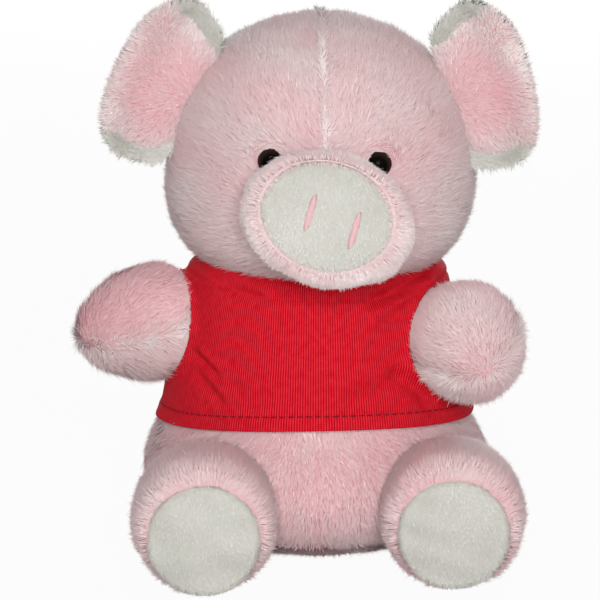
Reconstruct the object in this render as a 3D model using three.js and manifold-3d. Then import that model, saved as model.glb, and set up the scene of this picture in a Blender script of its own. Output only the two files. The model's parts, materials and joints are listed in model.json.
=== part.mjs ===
// A seated plush pig in a sleeveless knitted shirt: pile-fabric skins over stuffing, limbs, ears
// and tail that turn in their seams, safety eyes held by washers, and a beanbag in the seat.
// Millimetres, +Z up. The toy sits on Z = 0 and faces -Y. Left and right are the toy's own.

import * as THREE from 'three';
import { mergeVertices } from 'three/addons/utils/BufferGeometryUtils.js';
import Module from 'manifold-3d';

const wasm = await Module();
wasm.setup();

// Fabric and clearances
const GAP = 0.3;                // between pieces that touch
const PILE = 4;                 // length of the long pile
const BACKING = 1;              // knitted backing that carries the pile
const SKIN = PILE + BACKING;    // from the pile's tips to the stuffing
const LINING = 2;               // folded fabric inside a seam's hollow
const SEAT_CUT = 0.5;           // how deep the undersides are pressed flat
const OVERRUN = 20;             // how far a cutting block reaches past what it cuts
const WELD = 0.0001;            // corners closer than this are one corner

// Torso, a pear: shares of its half width and of its height, from the seat up
const TORSO_WIDTH = 110;
const TORSO_DEPTH = 95;
const TORSO_HEIGHT = 90;
const TORSO_PROFILE_SHARES = [
  [0, 0], [0.34, 0], [0.56, 0.022], [0.76, 0.075], [0.91, 0.15], [0.99, 0.235], [0.965, 0.345],
  [0.86, 0.455], [0.81, 0.615], [0.764, 0.78], [0.727, 0.885], [0.68, 0.95], [0.53, 0.985], [0, 1],
];

// Beanbag in the seat
const BEANBAG_WIDTH = 42;
const BEANBAG_DEPTH = 26;
const BEANBAG_HEIGHT = 26;

// Head, round at the neck and flatter from front to back above it
const HEAD_WIDTH = 95.6;
const HEAD_DEPTH = 86;
const HEAD_HEIGHT = 82;
const HEAD_BOTTOM = 82;         // height of its underside above the floor
const HEAD_SIDEWAYS = 1.2;      // it sits a little to the toy's left
const HEAD_TURN_DEG = 1.5;
const HEAD_NECK_SHARE = 0.11;   // up to this share of its height it is round
const HEAD_CHEEK_SHARE = 0.28;  // from this share on it has its full flattening
const HEAD_PROFILE_SHARES = [
  [0, 0], [0.32, 0.004], [0.58, 0.022], [0.745, 0.062], [0.85, 0.11], [0.932, 0.183],
  [0.984, 0.268], [1, 0.366], [0.98, 0.475], [0.945, 0.585], [0.9, 0.665], [0.82, 0.757],
  [0.69, 0.842], [0.52, 0.915], [0.33, 0.966], [0.16, 0.991], [0, 1],
];

// Snout: a furry band round a short-pile disc
const SNOUT_WIDTH = 50;
const SNOUT_HEIGHT = 40.4;
const SNOUT_CENTRE = 102.3;     // height where its axis meets the head's
const SNOUT_SIDEWAYS = 0.4;
const SNOUT_REACH = 61.5;       // from the head's axis to the band's crest
const SNOUT_DEPTH = 32;         // length of the band, most of it cut away by the head
const SNOUT_ROLL_DEG = -15;
const SNOUT_PITCH_DEG = 7;      // its face looks up a little
const DISC_WIDTH = 37;
const DISC_THICKNESS = 3.2;
const DISC_DOME = 1.6;
const DISC_RECESS = 1.6;        // how far the disc's rim lies behind the band's crest
const BAND_INSIDE_SHARE = 0.745;
const BAND_PROFILE_SHARES = [
  [BAND_INSIDE_SHARE, 0], [0.96, 0], [1, 0.5], [1, 0.74], [0.95, 0.9], [0.86, 0.99],
  [BAND_INSIDE_SHARE, 0.95],
];
const NOSTRIL_LENGTH = 11;
const NOSTRIL_WIDTH = 2.2;
const NOSTRIL_SPREAD = 13.2;    // between the two strokes
const NOSTRIL_SHIFT = 0.85;     // both lie a little to the toy's left
const NOSTRIL_LEFT_DROP = 0.6;  // below the disc's middle
const NOSTRIL_RIGHT_RISE = 1;   // above the disc's middle
const NOSTRIL_LIFT = 0.8;       // how far the satin stitches stand above the disc

// Safety eyes
const EYE_DIAMETER = 7;
const EYE_DOME = 3.4;
const EYE_RIM = 1.4;            // straight edge below the dome
const EYE_SPREAD = 30.5;        // between the two eyes
const EYE_CENTRE = 122.5;       // height above the floor
const EYE_TILT_DEG = 1.7;       // the left eye sits lower
const EYE_YAW_DEG = 22;
const EYE_PITCH_DEG = 10;
const SHANK_DIAMETER = 2.8;
const SHANK_LENGTH = 7;
const WASHER_DIAMETER = 10;
const WASHER_THICKNESS = 1.6;
const WASHER_HUB = 5;
const WASHER_HUB_RISE = 1;

// Ears: two layers, pinched at the base and cupped forward
const EAR_WIDTH = 45;
const EAR_REACH = 23.5;
const EAR_BASE = 30;            // length of the seam
const EAR_FRONT = 4.2;          // thickness of the pile in front
const EAR_BACK = 3;             // and of the short-pile lining behind
const EAR_BEAD = 4.8;           // radius of the rolled edge in the seam
const EAR_CENTRE = 137.3;       // height of the seam's middle above the floor
const EAR_FORWARD = 9;          // how far it lies in front of the head's middle
const EAR_SINK = 1.9;           // how deep the seam's middle lies in the head
const EAR_LEFT_SLOPE_DEG = 74;  // of the seam, from level
const EAR_RIGHT_SLOPE_DEG = 63;
const EAR_EASE = 1.4;           // kept free of the head beside the bead, so that the ear can fold
const EAR_LEFT_FOLD_DEG = 8;    // how far it lies folded forward
const EAR_RIGHT_FOLD_DEG = 4;
const EAR_STRAIGHT = 7;         // so far out from the seam it is flat, beyond it is cupped
const EAR_CURL = 3;             // how far the outer edge comes forward
const EAR_CUP = 4.5;            // how much further its two corners come forward
const EAR_OUTLINE_SHARES = [
  [0.39, -0.03], [0.51, 0.18], [0.57, 0.42], [0.565, 0.6], [0.505, 0.76], [0.405, 0.9], [0.245, 0.97],
  [0.08, 0.98], [-0.1, 0.965], [-0.26, 0.92], [-0.39, 0.81], [-0.455, 0.66], [-0.47, 0.42],
  [-0.45, 0.18], [-0.36, -0.03], [0, -0.12],
];

// The snout's disc and the soles: shares of the radius, and of the thickness or the dome
const PAD_PROFILE_SHARES = [
  [0, -1], [0.92, -1], [1, -0.5], [0.94, 0], [0.7, 0.5], [0.38, 0.875], [0, 1],
];

// Arms: a ball in the armhole and a blunt cone
const ARM_RADIUS = 18;
const ARM_REACH = 23.5;         // from the ball's centre to the tip
const ARM_OUT = 10.5;           // of the ball's centre outside the torso
const ARM_LEFT_HEIGHT = 67.5;   // of the ball's centre above the floor
const ARM_RIGHT_HEIGHT = 69.5;
const ARM_LEFT_ROUND_DEG = 32;  // of the armhole, from the side towards the front
const ARM_RIGHT_ROUND_DEG = 9;
const ARM_PROFILE_SHARES = [
  [1, 0], [0.98, 0.15], [0.91, 0.32], [0.82, 0.48], [0.71, 0.63], [0.57, 0.76], [0.42, 0.86],
  [0.25, 0.95], [0.11, 0.99], [0, 1],
];
const ARM_LEFT_AZIMUTH_DEG = -78;   // where it points, from +X round towards +Y
const ARM_LEFT_RISE_DEG = -12;
const ARM_RIGHT_AZIMUTH_DEG = -163;
const ARM_RIGHT_RISE_DEG = -13;
const ARM_SEAM_DEG = 25;        // roll of the seam between the two panels

// Legs: a ball in the hip seam, a short tube and a flat sole
const LEG_RADIUS = 21;
const LEG_REACH = 20.5;         // from the ball's centre to the rim round the sole
const LEG_OUT = 9.5;            // of the ball's centre in front of the torso
const LEG_EASE = 0.2;           // more room in the hip, so that the leg can lift
const LEG_SPREAD_LEFT = 40;     // of the ball's centre from the torso's middle
const LEG_SPREAD_RIGHT = 33;
const LEG_LEFT_AZIMUTH_DEG = -92;
const LEG_RIGHT_AZIMUTH_DEG = -88;
const SOLE_DIAMETER = 32;
const SOLE_DROP = 2.5;          // of the sole's middle below the leg's axis
const SOLE_THICKNESS = 3;
const SOLE_DOME = 1.4;
const SOLE_RECESS = 1.6;        // of the sole's rim behind the rim of the leg
const LEG_PROFILE_SHARES = [
  [1, 0], [1, 0.35], [0.99, 0.62], [0.955, 0.84], [0.895, 0.97], [0.83, 1],
];

// Tail: a stuffed curl with a ball in its seam
const TAIL_RADIUS = 3.6;
const TAIL_LOOP = 6.5;          // radius of the curl
const TAIL_LEAD = 9.5;         // how far one turn moves on
const TAIL_TURNS = 1.15;
const TAIL_HEIGHT = 27;
const TAIL_BALL = 5;
const TAIL_OUT = 2.5;
const TAIL_STEPS = 9;
const TAIL_SIDES = 6;

// Shirt: front and back panels, sewn at the sides, with a turned hem
const CLOTH = 1;
const SHIRT_EASE = 0.2;         // between the pile and the cloth
const HEM_LEVEL = 40;           // height of the lower edge at the side seams
const HEM_RISE = 5;             // how much higher it rides on the belly and the back
const HEM_WIDTH = 4.3;
const HEM_TILT_DEG = 1;         // higher at the toy's left
const ARMHOLE_EASE = 0.6;

// Facets
const AROUND = 20;
const AROUND_INSIDE = 8;
const RINGS = 10;
const RINGS_INSIDE = 5;
const LIMB_AROUND = 12;
const HOLLOW_AROUND = 16;
const HOLLOW_AROUND_INSIDE = 8;
const LIMB_BACK_RINGS = 3;
const LIMB_RINGS = 5;
const SMALL_AROUND = 10;
const EAR_POINTS = 16;
const EAR_RINGS = 3;

const PINK = '#e6bcc2';
const PALE_PINK = '#e3c3c4';
const SOLE_WHITE = '#d9dbd3';
const STUFFING = '#f1efe8';
const RED = '#c8102b';
const THREAD_PINK = '#e08d96';
const EYE_BLACK = '#1c1411';
const WASHER_WHITE = '#e8e6df';

function fabric(colour) {
  return new THREE.MeshStandardMaterial({ color: colour, roughness: 0.95, metalness: 0 });
}

function gloss(colour) {
  return new THREE.MeshStandardMaterial({ color: colour, roughness: 0.12, metalness: 0 });
}

const radians = THREE.MathUtils.degToRad;
const { lerp, smoothstep } = THREE.MathUtils;

// Solids

function toSolid(geometry) {
  const bare = geometry.clone();
  bare.deleteAttribute('normal');
  bare.deleteAttribute('uv');
  const merged = mergeVertices(bare, WELD);
  const corners = merged.index.array;
  const kept = [];
  let volume = 0;
  const [p, q, r] = [new THREE.Vector3(), new THREE.Vector3(), new THREE.Vector3()];
  for (let i = 0; i < corners.length; i += 3) {
    const [a, b, c] = [corners[i], corners[i + 1], corners[i + 2]];
    if (a === b || b === c || c === a) continue;
    kept.push(a, b, c);
    p.fromBufferAttribute(merged.attributes.position, a);
    q.fromBufferAttribute(merged.attributes.position, b);
    r.fromBufferAttribute(merged.attributes.position, c);
    volume += p.dot(q.cross(r));
  }
  if (volume < 0) kept.reverse();
  return new wasm.Manifold(new wasm.Mesh({
    numProp: 3,
    vertProperties: new Float32Array(merged.attributes.position.array),
    triVerts: new Uint32Array(kept),
  }));
}

function toGeometry(solid) {
  const { vertProperties, triVerts } = solid.getMesh();
  const geometry = new THREE.BufferGeometry();
  geometry.setAttribute('position', new THREE.BufferAttribute(vertProperties, 3));
  geometry.setIndex(new THREE.BufferAttribute(triVerts, 1));
  geometry.computeVertexNormals();
  return geometry;
}

// The largest body of a solid, without the slivers that a cut can leave beside it.
function whole(solid) {
  return solid.decompose().reduce((best, body) => (body.volume() > best.volume() ? body : best));
}

function piece(name, solid, material) {
  const mesh = new THREE.Mesh(toGeometry(whole(solid)), material);
  mesh.name = name;
  return mesh;
}

function joined(solids) {
  return solids.reduce((all, solid) => all.add(solid));
}

// A block of the given size whose least corner is at (x, y, z).
function block(x, y, z, width, depth, height) {
  const box = new THREE.BoxGeometry(width, depth, height);
  return toSolid(box.translate(x + width / 2, y + depth / 2, z + height / 2));
}

function ball(radius, centre, around) {
  const sphere = new THREE.SphereGeometry(radius, around, around / 2);
  return toSolid(sphere.translate(centre.x, centre.y, centre.z));
}

// A ball to cut a hollow with: its facets lie outside the radius, so what turns in it stays clear.
function hollow(radius, centre, around) {
  return ball(radius / Math.cos(Math.PI / around) ** 2, centre, around);
}

// Everything below a level, as a block to cut with.
function below(level, reach) {
  return block(-reach, -reach, level - reach, 2 * reach, 2 * reach, reach);
}

// A smooth outline through shares of a radius and of a height.
function outline(shares, radius, bottom, top, count) {
  const corners = shares.map(([r, h]) => new THREE.Vector2(r * radius, lerp(bottom, top, h)));
  const points = new THREE.SplineCurve(corners).getPoints(count);
  return points.map((p) => new THREE.Vector2(Math.max(0, p.x), p.y));
}

// A turned form with its axis along Z.
function turned(points, around) {
  return new THREE.LatheGeometry(points, around).rotateX(Math.PI / 2);
}

// Radius of an outline at a height.
function radiusAt(points, height) {
  const next = points.findIndex((p) => p.y >= height);
  const [low, high] = [points[Math.max(0, next - 1)], points[Math.max(0, next)]];
  const share = high.y > low.y ? (height - low.y) / (high.y - low.y) : 0;
  return lerp(low.x, high.x, share);
}

// Scales each point's Y by a share that depends on its height.
function flatten(geometry, shareAt) {
  const position = geometry.attributes.position;
  for (let i = 0; i < position.count; i += 1) {
    position.setY(i, position.getY(i) * shareAt(position.getZ(i)));
  }
  return geometry;
}

// The two halves of a shell, with a seam's gap between them. axis is 'x' or 'y'.
function halves(solid, axis, reach) {
  const start = GAP / 2;
  const size = [2 * reach, 2 * reach, 2 * reach];
  const positive = axis === 'x' ? [start, -reach, -reach] : [-reach, start, -reach];
  const negative = axis === 'x' ? [-start - 2 * reach, -reach, -reach] : [-reach, -start - 2 * reach, -reach];
  return [solid.intersect(block(...negative, ...size)), solid.intersect(block(...positive, ...size))];
}

// Torso

const REACH = TORSO_HEIGHT + HEAD_HEIGHT + OVERRUN;

function torsoOutline(inset, count) {
  const bottom = inset - SEAT_CUT;
  return outline(TORSO_PROFILE_SHARES, TORSO_WIDTH / 2 - inset, bottom, TORSO_HEIGHT - inset, count);
}

function torsoForm(inset, around = AROUND, rings = RINGS) {
  const share = (TORSO_DEPTH / 2 - inset) / (TORSO_WIDTH / 2 - inset);
  return toSolid(flatten(turned(torsoOutline(inset, rings), around), () => share));
}

// A point on the torso's surface, its outward direction, and the point that lies out along it.
function onTorso(angle, height, out) {
  const radius = radiusAt(torsoOutline(0, RINGS), height);
  const [a, b] = [radius, radius * TORSO_DEPTH / TORSO_WIDTH];
  const surface = new THREE.Vector3(a * Math.cos(angle), b * Math.sin(angle), height);
  const normal = new THREE.Vector3(Math.cos(angle) / a, Math.sin(angle) / b, 0).normalize();
  return surface.addScaledVector(normal, out);
}

const armCentres = {
  left: onTorso(-radians(ARM_LEFT_ROUND_DEG), ARM_LEFT_HEIGHT, ARM_OUT),
  right: onTorso(Math.PI + radians(ARM_RIGHT_ROUND_DEG), ARM_RIGHT_HEIGHT, ARM_OUT),
};

function legCentre(x) {
  const height = LEG_RADIUS - SEAT_CUT;
  const radius = radiusAt(torsoOutline(0, RINGS), height);
  const front = Math.sqrt(radius ** 2 - x ** 2) * TORSO_DEPTH / TORSO_WIDTH;
  return new THREE.Vector3(x, -front - LEG_OUT, height);
}

const legCentres = { left: legCentre(LEG_SPREAD_LEFT), right: legCentre(-LEG_SPREAD_RIGHT) };
const tailCentre = onTorso(Math.PI / 2, TAIL_HEIGHT, TAIL_OUT);
const headCentre = new THREE.Vector3(HEAD_SIDEWAYS, 0, 0);

// The hollows in the torso's seams that take the head, the limbs and the tail.
function torsoHollows(extra, around) {
  const grown = GAP + extra;
  return joined([
    neckHollow(extra),
    ...Object.values(armCentres).map((centre) => hollow(ARM_RADIUS + grown, centre, around)),
    ...Object.values(legCentres).map((centre) => hollow(LEG_RADIUS + LEG_EASE + grown, centre, around)),
    hollow(TAIL_BALL + grown, tailCentre, SMALL_AROUND),
  ]);
}

function beanbagForm(grown) {
  const size = [BEANBAG_WIDTH / 2 + grown, BEANBAG_DEPTH / 2 + grown, BEANBAG_HEIGHT / 2 + grown];
  const sphere = new THREE.SphereGeometry(1, SMALL_AROUND, SMALL_AROUND / 2).rotateX(Math.PI / 2);
  const middle = SKIN - 2 * SEAT_CUT + GAP + BEANBAG_HEIGHT / 2;
  return toSolid(sphere.scale(...size).translate(0, 0, middle));
}

function buildTorso() {
  const hollows = torsoHollows(0, HOLLOW_AROUND);
  const lined = torsoHollows(LINING, HOLLOW_AROUND_INSIDE);
  const outside = torsoForm(0).subtract(hollows).subtract(below(0, REACH));
  const inside = torsoForm(SKIN, AROUND_INSIDE, RINGS_INSIDE).subtract(lined);
  const [front, back] = halves(outside.subtract(inside), 'y', REACH);
  const stuffing = torsoForm(SKIN + GAP, AROUND_INSIDE, RINGS_INSIDE)
    .subtract(torsoHollows(LINING + GAP, HOLLOW_AROUND_INSIDE))
    .subtract(beanbagForm(GAP));
  const beanbag = beanbagForm(0).subtract(below(SKIN - SEAT_CUT + GAP, REACH));
  return [
    piece('torso_skin_front', front, fabric(PINK)),
    piece('torso_skin_back', back, fabric(PINK)),
    piece('torso_filling', stuffing, fabric(STUFFING)),
    piece('beanbag', beanbag, fabric(STUFFING)),
  ];
}

// Shirt

// A slab that reaches above the shirt, whose lower side curves up towards the front and the back.
function shirtSlab(bottom) {
  const half = REACH / 2;
  const top = TORSO_HEIGHT + OVERRUN;
  const rise = HEM_RISE * (half / (TORSO_DEPTH / 2)) ** 2;
  const side = new THREE.Shape();
  side.moveTo(-half, top);
  side.lineTo(-half, bottom + rise);
  side.quadraticCurveTo(0, bottom - rise, half, bottom + rise);
  side.lineTo(half, top);
  const slab = new THREE.ExtrudeGeometry(side, {
    depth: 2 * half, bevelEnabled: false, curveSegments: AROUND_INSIDE,
  });
  const upright = slab.translate(0, 0, -half).rotateY(Math.PI / 2).rotateX(Math.PI / 2);
  return toSolid(upright.rotateY(-radians(HEM_TILT_DEG)));
}

function buildShirt() {
  const inner = -GAP - SHIRT_EASE;
  const armholes = joined(Object.values(armCentres).map(
    (centre) => hollow(ARM_RADIUS + ARMHOLE_EASE, centre, HOLLOW_AROUND),
  ));
  const body = torsoForm(inner - CLOTH).intersect(shirtSlab(HEM_LEVEL));
  const hem = torsoForm(inner - 2 * CLOTH).intersect(shirtSlab(HEM_LEVEL))
    .subtract(shirtSlab(HEM_LEVEL + HEM_WIDTH));
  const shell = body.add(hem).subtract(torsoForm(inner)).subtract(armholes).subtract(neckHollow(0));
  const [front, back] = halves(shell, 'y', REACH);
  return [piece('shirt_front', front, fabric(RED)), piece('shirt_back', back, fabric(RED))];
}

// Head

function headOutline(inset, count) {
  const [bottom, top] = [HEAD_BOTTOM + inset, HEAD_BOTTOM + HEAD_HEIGHT - inset];
  return outline(HEAD_PROFILE_SHARES, HEAD_WIDTH / 2 - inset, bottom, top, count);
}

function headDepthShare(height, inset) {
  const full = (HEAD_DEPTH / 2 - inset) / (HEAD_WIDTH / 2 - inset);
  const [neck, cheek] = [HEAD_NECK_SHARE, HEAD_CHEEK_SHARE].map((s) => HEAD_BOTTOM + s * HEAD_HEIGHT);
  return lerp(1, full, smoothstep(height, neck, cheek));
}

function headGeometry(inset, around, rings) {
  return flatten(turned(headOutline(inset, rings), around), (z) => headDepthShare(z, inset));
}

// What the head needs free round its neck to turn: its form, grown past its own facets.
function neckHollow(extra) {
  const facets = HEAD_WIDTH / 2 * (1 / Math.cos(Math.PI / AROUND) - 1);
  return toSolid(headGeometry(-GAP - extra - facets, AROUND, RINGS).translate(...headCentre));
}

// The front of the head's surface at a sideways place and a height.
function headFront(x, height, inset) {
  const radius = radiusAt(headOutline(inset, RINGS), height);
  return -Math.sqrt(radius ** 2 - x ** 2) * headDepthShare(height, inset);
}

// Where an ear's seam lies and how it is turned: along the seam, outwards, and forwards.
function earPlace(side) {
  const radius = radiusAt(headOutline(0, RINGS), EAR_CENTRE);
  const depth = radius * headDepthShare(EAR_CENTRE, 0);
  const x = radius * Math.sqrt(1 - (EAR_FORWARD / depth) ** 2) - EAR_SINK;
  const slope = radians(side > 0 ? EAR_LEFT_SLOPE_DEG : EAR_RIGHT_SLOPE_DEG);
  const along = new THREE.Vector3(Math.cos(slope), 0, -side * Math.sin(slope));
  const out = new THREE.Vector3(side * Math.sin(slope), 0, Math.cos(slope));
  const front = new THREE.Vector3().crossVectors(along, out);
  const fold = radians(side > 0 ? EAR_LEFT_FOLD_DEG : EAR_RIGHT_FOLD_DEG);
  return new THREE.Matrix4().makeBasis(along, out, front)
    .setPosition(side * x, -EAR_FORWARD, EAR_CENTRE)
    .multiply(new THREE.Matrix4().makeRotationX(fold));
}

function earBead(radius) {
  const bead = new THREE.CapsuleGeometry(radius, EAR_BASE - 2 * EAR_BEAD, LIMB_BACK_RINGS, SMALL_AROUND);
  return bead.rotateZ(Math.PI / 2);
}

function eyePlace(side) {
  const x = side * EYE_SPREAD / 2;
  const height = EYE_CENTRE - x * Math.tan(radians(EYE_TILT_DEG));
  const turn = new THREE.Euler(Math.PI / 2 - radians(EYE_PITCH_DEG), side * radians(EYE_YAW_DEG), 0);
  return new THREE.Matrix4().makeRotationFromEuler(turn).setPosition(x, headFront(x, height, PILE), height);
}

// A padded disc, its rim at height 0 and its dome above.
function pad(radius, thickness, dome, grown) {
  const points = PAD_PROFILE_SHARES.map(([r, h]) => new THREE.Vector2(
    r * (radius + grown),
    h < 0 ? h * (thickness + grown) : h * (dome + grown),
  ));
  return turned(points, LIMB_AROUND);
}

function rod(radius, from, to, around = SMALL_AROUND) {
  const length = to - from;
  const cylinder = new THREE.CylinderGeometry(radius, radius, length, around).rotateX(Math.PI / 2);
  return cylinder.translate(0, 0, from + length / 2);
}

const SIDES = [['left', 1], ['right', -1]];

// Rods along both eyes' axes, to cut with.
function eyeRods(radius, from, to) {
  return SIDES.map(([, side]) => rod(radius, from, to).applyMatrix4(eyePlace(side)));
}

const eyePockets = () => eyeRods(EYE_DIAMETER / 2 + GAP, -GAP, OVERRUN);
const shankHoles = () => eyeRods(SHANK_DIAMETER / 2 + GAP, -OVERRUN, OVERRUN);
const washerPockets = () => eyeRods(WASHER_DIAMETER / 2 + GAP, -SHANK_LENGTH - GAP, -BACKING);

function earGrooves(extra) {
  return joined(SIDES.map(
    ([, side]) => toSolid(earBead(EAR_BEAD + GAP + extra).applyMatrix4(earPlace(side))),
  ));
}

function buildHead() {
  const outside = toSolid(headGeometry(0, AROUND, RINGS))
    .subtract(earGrooves(0))
    .subtract(joined([...eyePockets(), ...shankHoles(), ...washerPockets()].map(toSolid)));
  const inside = toSolid(headGeometry(SKIN, AROUND_INSIDE, RINGS_INSIDE)).subtract(earGrooves(LINING));
  const [right, left] = halves(outside.subtract(inside), 'x', REACH);
  const stuffing = toSolid(headGeometry(SKIN + GAP, AROUND_INSIDE, RINGS_INSIDE))
    .subtract(earGrooves(LINING + GAP))
    .subtract(joined(washerPockets().map(toSolid)));
  return [
    piece('head_skin_right', right, fabric(PINK)),
    piece('head_skin_left', left, fabric(PINK)),
    piece('head_filling', stuffing, fabric(STUFFING)),
  ];
}

// Eyes

function buildEye(name, side) {
  const [radius, shank] = [EYE_DIAMETER / 2, SHANK_DIAMETER / 2];
  const dome = new THREE.EllipseCurve(0, EYE_RIM, radius, EYE_DOME, 0, Math.PI / 2).getPoints(LIMB_BACK_RINGS);
  const profile = [
    new THREE.Vector2(0, -SHANK_LENGTH),
    new THREE.Vector2(shank, -SHANK_LENGTH),
    new THREE.Vector2(shank, 0),
    new THREE.Vector2(radius, 0),
    ...dome,
  ];
  profile[profile.length - 1].x = 0;
  const eye = piece(`eye_${name}`, toSolid(turned(profile, SMALL_AROUND)), gloss(EYE_BLACK));

  const [rim, hub, hole] = [WASHER_DIAMETER / 2, WASHER_HUB / 2, shank + GAP];
  const [top, foot] = [-BACKING - 2 * GAP, -BACKING - 2 * GAP - WASHER_THICKNESS];
  const ring = [
    [hole, top], [hole, foot - WASHER_HUB_RISE], [hub, foot - WASHER_HUB_RISE], [hub, foot],
    [rim, foot], [rim, top], [hole, top],
  ].map(([r, z]) => new THREE.Vector2(r, z));
  const washer = piece(`eye_washer_${name}`, toSolid(turned(ring, SMALL_AROUND)), fabric(WASHER_WHITE));

  const place = new THREE.Group();
  place.applyMatrix4(eyePlace(side));
  place.add(eye, washer);
  return place;
}

// Snout

function oval(geometry) {
  return geometry.scale(1, SNOUT_HEIGHT / SNOUT_WIDTH, 1);
}

function snoutMatrix() {
  const turn = new THREE.Euler(Math.PI / 2 - radians(SNOUT_PITCH_DEG), 0, radians(SNOUT_ROLL_DEG));
  return new THREE.Matrix4().makeRotationFromEuler(turn).setPosition(SNOUT_SIDEWAYS, 0, SNOUT_CENTRE);
}

function discForm(grown) {
  return oval(pad(DISC_WIDTH / 2, DISC_THICKNESS, DISC_DOME, grown)
    .translate(0, 0, SNOUT_REACH - DISC_RECESS));
}

function buildSnout() {
  const face = toSolid(headGeometry(-GAP, AROUND, RINGS).applyMatrix4(snoutMatrix().invert()));
  const eyes = joined(eyePockets().map((pocket) => toSolid(pocket.applyMatrix4(snoutMatrix().invert()))));
  const back = SNOUT_REACH - SNOUT_DEPTH;
  const ring = BAND_PROFILE_SHARES.map(
    ([r, h]) => new THREE.Vector2(r * SNOUT_WIDTH / 2, back + h * SNOUT_DEPTH),
  );
  const closed = [...ring, ring[0].clone()].reverse();
  const band = toSolid(oval(turned(closed, AROUND)))
    .subtract(face)
    .subtract(toSolid(discForm(GAP)))
    .subtract(eyes);
  const discBack = SNOUT_REACH - DISC_RECESS - DISC_THICKNESS - GAP;
  const fillRadius = BAND_INSIDE_SHARE * SNOUT_WIDTH / 2 - GAP;
  const stuffing = toSolid(oval(rod(fillRadius, back, discBack - GAP))).subtract(face);
  const rises = { left: -NOSTRIL_LEFT_DROP, right: NOSTRIL_RIGHT_RISE };
  const strokes = SIDES.map(([name, side]) => {
    const stroke = new THREE.CapsuleGeometry(
      NOSTRIL_WIDTH / 2, NOSTRIL_LENGTH - NOSTRIL_WIDTH, LIMB_BACK_RINGS, TAIL_SIDES,
    );
    const x = NOSTRIL_SHIFT + side * NOSTRIL_SPREAD / 2;
    const level = SNOUT_REACH - DISC_RECESS + DISC_DOME + NOSTRIL_LIFT - NOSTRIL_WIDTH / 2;
    const solid = toSolid(stroke.translate(x, rises[name], level)).subtract(toSolid(discForm(GAP)));
    return piece(`nostril_${name}`, solid, fabric(THREAD_PINK));
  });
  const place = new THREE.Group();
  place.applyMatrix4(snoutMatrix());
  place.add(
    piece('snout_band', band, fabric(PALE_PINK)),
    piece('snout_disc', toSolid(discForm(0)), fabric(SOLE_WHITE)),
    piece('snout_filling', stuffing, fabric(STUFFING)),
    ...strokes,
  );
  return place;
}

// Ears

// How far the cupped ear comes forward at a point of its plane.
function cup(along, out) {
  const share = smoothstep(out, EAR_STRAIGHT, EAR_REACH);
  return share * (EAR_CURL * share + EAR_CUP * (2 * along / EAR_WIDTH) ** 2);
}

// A padded layer of the ear: a sphere pressed into the outline, flat on the side of the other
// layer. height is its thickness, less than zero for the layer behind.
function earLayer(mirror, height) {
  const corners = EAR_OUTLINE_SHARES.map(([u, v]) => new THREE.Vector3(u * EAR_WIDTH, v * EAR_REACH, 0));
  const edge = new THREE.CatmullRomCurve3(corners, true);
  const middle = new THREE.Vector3(0, EAR_REACH / 2, 0);
  const form = new THREE.SphereGeometry(1, EAR_POINTS, 2 * EAR_RINGS).rotateX(Math.PI / 2);
  const position = form.attributes.position;
  const at = new THREE.Vector3();
  for (let i = 0; i < position.count; i += 1) {
    at.fromBufferAttribute(position, i);
    const turn = (Math.atan2(at.y, at.x) / (2 * Math.PI) + 1) % 1;
    const reach = Math.min(1, Math.hypot(at.x, at.y));
    const puffed = at.z * height > 0 ? Math.sqrt(1 - reach ** 4) : 0;
    const level = Math.sign(height) * GAP / 2 + height * puffed;
    at.lerpVectors(middle, edge.getPoint(mirror > 0 ? turn : 1 - turn), reach);
    position.setXYZ(i, mirror * at.x, at.y, level + cup(at.x, at.y));
  }
  return toSolid(form);
}

function buildEar(name, side) {
  const bead = toSolid(earBead(EAR_BEAD));
  const size = [2 * REACH, 2 * REACH, REACH];
  const matrix = earPlace(side);
  const head = toSolid(headGeometry(-GAP - EAR_EASE, AROUND, RINGS).applyMatrix4(matrix.clone().invert()));
  const [puffed, lining] = [EAR_FRONT, -EAR_BACK].map((height) => earLayer(-side, height).subtract(head));
  const front = bead.intersect(block(-REACH, -REACH, GAP / 2, ...size)).add(puffed);
  const back = bead.intersect(block(-REACH, -REACH, -GAP / 2 - REACH, ...size)).add(lining);
  const place = new THREE.Group();
  place.name = `ear_${name}_seam`;
  place.applyMatrix4(matrix);
  place.add(
    piece(`ear_${name}_front`, front, fabric(PINK)),
    piece(`ear_${name}_back`, back, fabric(SOLE_WHITE)),
  );
  return place;
}

// Limbs

// A place at a centre with its Z along a direction and its Y as upright as that allows.
function aim(centre, azimuthDeg, riseDeg) {
  const [azimuth, rise] = [radians(azimuthDeg), radians(riseDeg)];
  const out = new THREE.Vector3(Math.cos(azimuth), Math.sin(azimuth), 0).multiplyScalar(Math.cos(rise));
  out.z = Math.sin(rise);
  const across = new THREE.Vector3(-Math.sin(azimuth), Math.cos(azimuth), 0);
  const up = new THREE.Vector3().crossVectors(out, across);
  return new THREE.Matrix4().makeBasis(across, up, out).setPosition(centre);
}

// A ball behind and the shares' outline in front, closed on the axis.
function limb(shares, radius, reach, around) {
  const back = new THREE.EllipseCurve(0, 0, radius, radius, -Math.PI / 2, 0).getPoints(LIMB_BACK_RINGS);
  const front = outline(shares, radius, 0, reach, LIMB_RINGS);
  const points = [...back, ...front.slice(1)];
  points[0].x = 0;
  const end = points[points.length - 1];
  if (end.x > 0) points.push(new THREE.Vector2(0, end.y));
  return toSolid(turned(points, around));
}

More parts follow.
